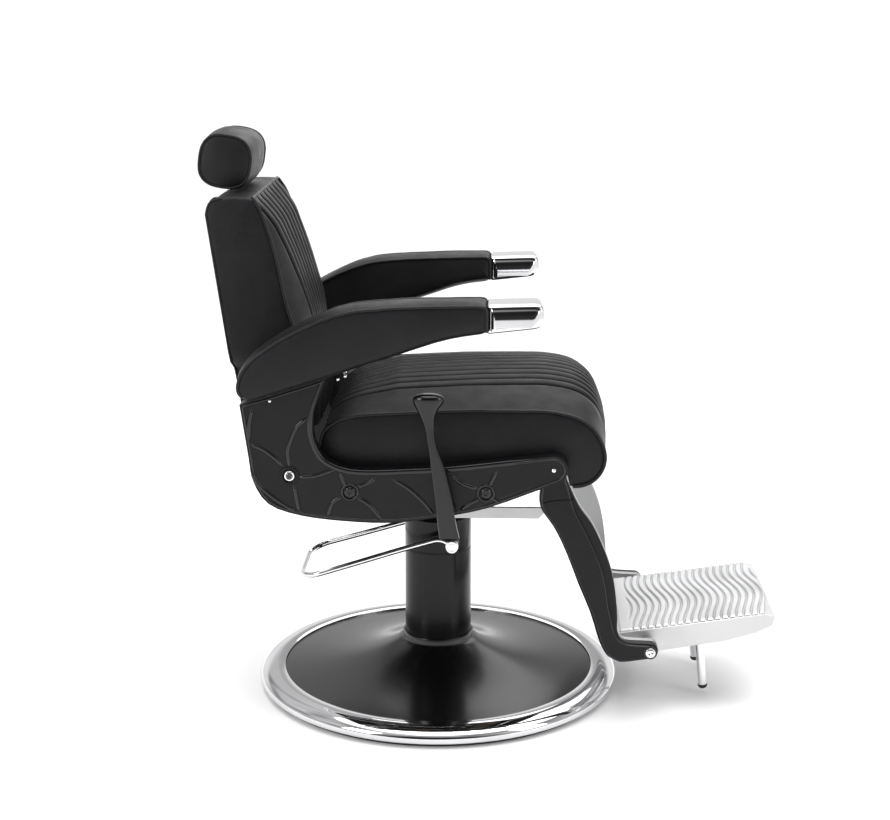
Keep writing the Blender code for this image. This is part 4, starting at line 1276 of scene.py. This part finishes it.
def make_tread():
    """A cast sheet with wavy grooves, a bowed front edge and eased rims."""
    low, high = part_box("footplate")
    rear, front = low.x + 0.004, high.x - 0.018
    half = high.y - 0.0035
    slope, start, thick = 0.15, 0.1418, 0.003
    pitch, sway, period, deep = 0.013, 0.009, 0.235, 0.0038
    columns, rows = 400, 100
    top, under = [], []
    for j in range(rows + 1):
        t = -1 + 2 * j / rows
        y = t * half
        nose = front + 0.014 * (1 - t * t)
        wave = sway * math.sin(2 * math.pi * (y - 0.03) / period)
        line, base = [], []
        for i in range(columns + 1):
            share = i / columns
            x = rear + (nose - rear) * share
            z = start + slope * (x - low.x)
            turn = math.cos(2 * math.pi * (x + wave) / pitch)
            groove = 0.55 * ramp(turn, -0.2, -0.88) + 0.45 * ramp(turn, -0.86, -0.98)
            ribbed = min(ramp(x, rear + 0.018, rear + 0.03), ramp(share, 1.0, 0.965))
            ribbed = min(ribbed, ramp(abs(t), 1.0, 0.975))
            height = 0.004 * ramp(min(share, 1 - share, 0.5 - abs(t) / 2), 0.0, 0.01)
            line.append((x, y, z + height - deep * groove * ribbed))
            base.append((x, y, z - thick))
        top.append(line)
        under.append(base)
    piece("footplate_tread", sheet_bm(top, under), "tread", "footplate", (), sharp=60)


def foot_radius(share):
    """A rubber foot is straight near its peg and rounds off towards its tip."""
    return 0.0086 * math.sqrt(max(0.05, 1 - max(0.0, (share - 0.25) / 0.78) ** 2))


def make_footplate():
    """A cast tread, and two pegs below that rest it on the floor when folded."""
    refined("footplate", "tread", 0.0016)
    make_tread()
    for side, sign in SIDES:
        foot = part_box("footplate_peg_" + side)[0].z + CLEAR
        a, b = Vector((0.47, sign * 0.068, 0.155)), Vector((0.484, sign * 0.068, foot))
        bar("peg_rod_" + side, even([tuple(a), tuple(b)], 20, False), 0.008, "chrome", "footplate",
            ["footplate_peg_" + side], sides=28)
        down = (b - a).normalized()
        path = [b + down * (0.0003 + 0.0085 * i / 12) for i in range(13)]
        bar("peg_foot_" + side, path, foot_radius, "rubber", "footplate", ["peg_tip_" + side], sides=28)


# ---------------------------------------------------------------- the rest, the room and the camera


def make_spring():
    """The plunger's return spring: a helix of wire that rides on the plunger."""
    low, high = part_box("plunger_spring")
    x, y, _ = (low + high) / 2
    wire, turns, steps, stroke = 0.0008, 5, 240, 0.008
    radius = (high.x - low.x) / 2 - wire
    path = []
    for step in range(steps + 1):
        turn = 2 * math.pi * turns * step / steps
        rise = (high.z - low.z - 2 * wire) * step / steps
        path.append((x + radius * math.cos(turn), y + radius * math.sin(turn), low.z + wire + rise))
    spring = bar("return_spring", path, wire, "steel", "pump_plunger", ["plunger_spring"], sides=8)
    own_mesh(spring)


def finish_hidden_nodes():
    """What still shows from the CAD takes its finish here."""
    looks = {"black_paint": "cast", "cast_aluminium": "aluminium", "black_leather": "leather"}
    slots = {part["node"]: part["material_slot"] for part in frame["record"]["subparts"]}
    for name, node in frame["nodes"].items():
        if node.hide_render:
            continue
        slot = slots[name]
        for holder in node.material_slots:
            holder.material = LOOKS[looks.get(slot, slot)][0]


def make_floor():
    bm = bmesh.new()
    rings = []
    for radius in (0.0, 2.0, 6.0, 20.0, 90.0, 400.0):
        around = circle((0, 0), radius, 48 if radius else 1)
        rings.append([bm.verts.new((x, y, -0.0002)) for x, y in around])
    join_rings(bm, rings)
    floor = placed("studio_floor", mesh_of("studio_floor", bm))
    made, shader, _ = new_shader("floor_pale")
    fill(shader, {"Base Color": (0.93, 0.93, 0.93, 1), "Roughness": 0.8, "Specular IOR Level": 0.1})
    floor.data.materials.append(made)


def make_world():
    """Soft grey studio walls with brighter patches, a white horizon and a white backdrop behind."""
    world = bpy.data.worlds.new("studio")
    bpy.context.scene.world = world
    world.use_nodes = True
    tree = world.node_tree
    direction = add_node(tree, "TexCoord").outputs["Generated"]
    split = add_node(tree, "SeparateXYZ", {"Vector": direction})
    ahead, up = split.outputs["Y"], split.outputs["Z"]
    tones = add_node(tree, "ValToRGB", {"Fac": up})
    stops = tones.color_ramp.elements
    stops[0].position, stops[0].color = 0.0, (0.62, 0.62, 0.63, 1)
    stops[1].position, stops[1].color = 1.0, (1.0, 1.0, 1.0, 1)
    for position, tone in ((0.1, 0.8), (0.35, 0.75), (0.75, 1.0)):
        stops.new(position).color = (tone, tone, tone, 1)
    cards = spread(noise_of(direction, 2.2, 1.0), 0.55, 1.15, 0.42, 0.58)
    lit = maths("MULTIPLY", cards, spread(ahead, 0.06, 1.0, -0.88, -0.6))
    walls = add_node(tree, "VectorMath", {0: tones.outputs["Color"], "Scale": lit}, operation="SCALE")
    horizon = spread(up, 1.0, 0.0, 0.045, 0.085)
    behind = maths("MULTIPLY", spread(up, 0.8, 0.0, 0.28, 0.36), spread(ahead, 0.0, 1.0, 0.45, 0.75))
    backdrop = maths("MAXIMUM", horizon, behind)
    colour = mixed(backdrop, walls.outputs["Vector"], (1.52, 1.52, 1.52))
    fill(tree.nodes["Background"], {"Color": colour, "Strength": 0.66})


def light(name, place, target, size, power):
    lamp = bpy.data.lights.new(name, "AREA")
    lamp.shape = "RECTANGLE"
    lamp.size, lamp.size_y = size
    lamp.energy = power
    made = placed(name, lamp)
    made.location = place
    made.rotation_euler = (Vector(target) - Vector(place)).to_track_quat("-Z", "Y").to_euler()


def make_lights():
    middle = (0.05, 0.0, 0.45)
    light("softbox_top", (0.2, -0.3, 2.9), middle, (2.6, 2.0), 34.0)
    light("softbox_left", (-2.4, -2.2, 1.9), middle, (1.2, 1.8), 37.0)
    light("softbox_right", (2.6, -1.4, 1.7), middle, (1.0, 1.8), 22.0)
    light("softbox_back", (0.6, 2.6, 2.2), middle, (2.2, 1.2), 12.0)
    lamp = bpy.data.lights.new("sky_wash", "SUN")
    lamp.energy = 2.05
    lamp.angle = math.radians(70)
    placed("sky_wash", lamp).rotation_euler = (math.radians(-8), math.radians(6), 0)


def make_camera():
    lens = bpy.data.cameras.new("camera")
    lens.lens = 70.2087
    lens.sensor_width = 36.0
    camera = placed("camera", lens)
    camera.location = (0.11944, -3.03804, 1.24698)
    camera.rotation_euler = (math.radians(90 - 13.615), 0.0, math.radians(2.014))
    bpy.context.scene.camera = camera
    bpy.context.scene.view_settings.view_transform = "Standard"


make_base()
make_pedal()
make_frames()
make_lever()
make_legs()
make_back_fittings()
make_footplate()
make_spring()
make_seat()
make_arms()
make_back()
make_headrest()
finish_hidden_nodes()
make_floor()
make_world()
make_lights()
make_camera()
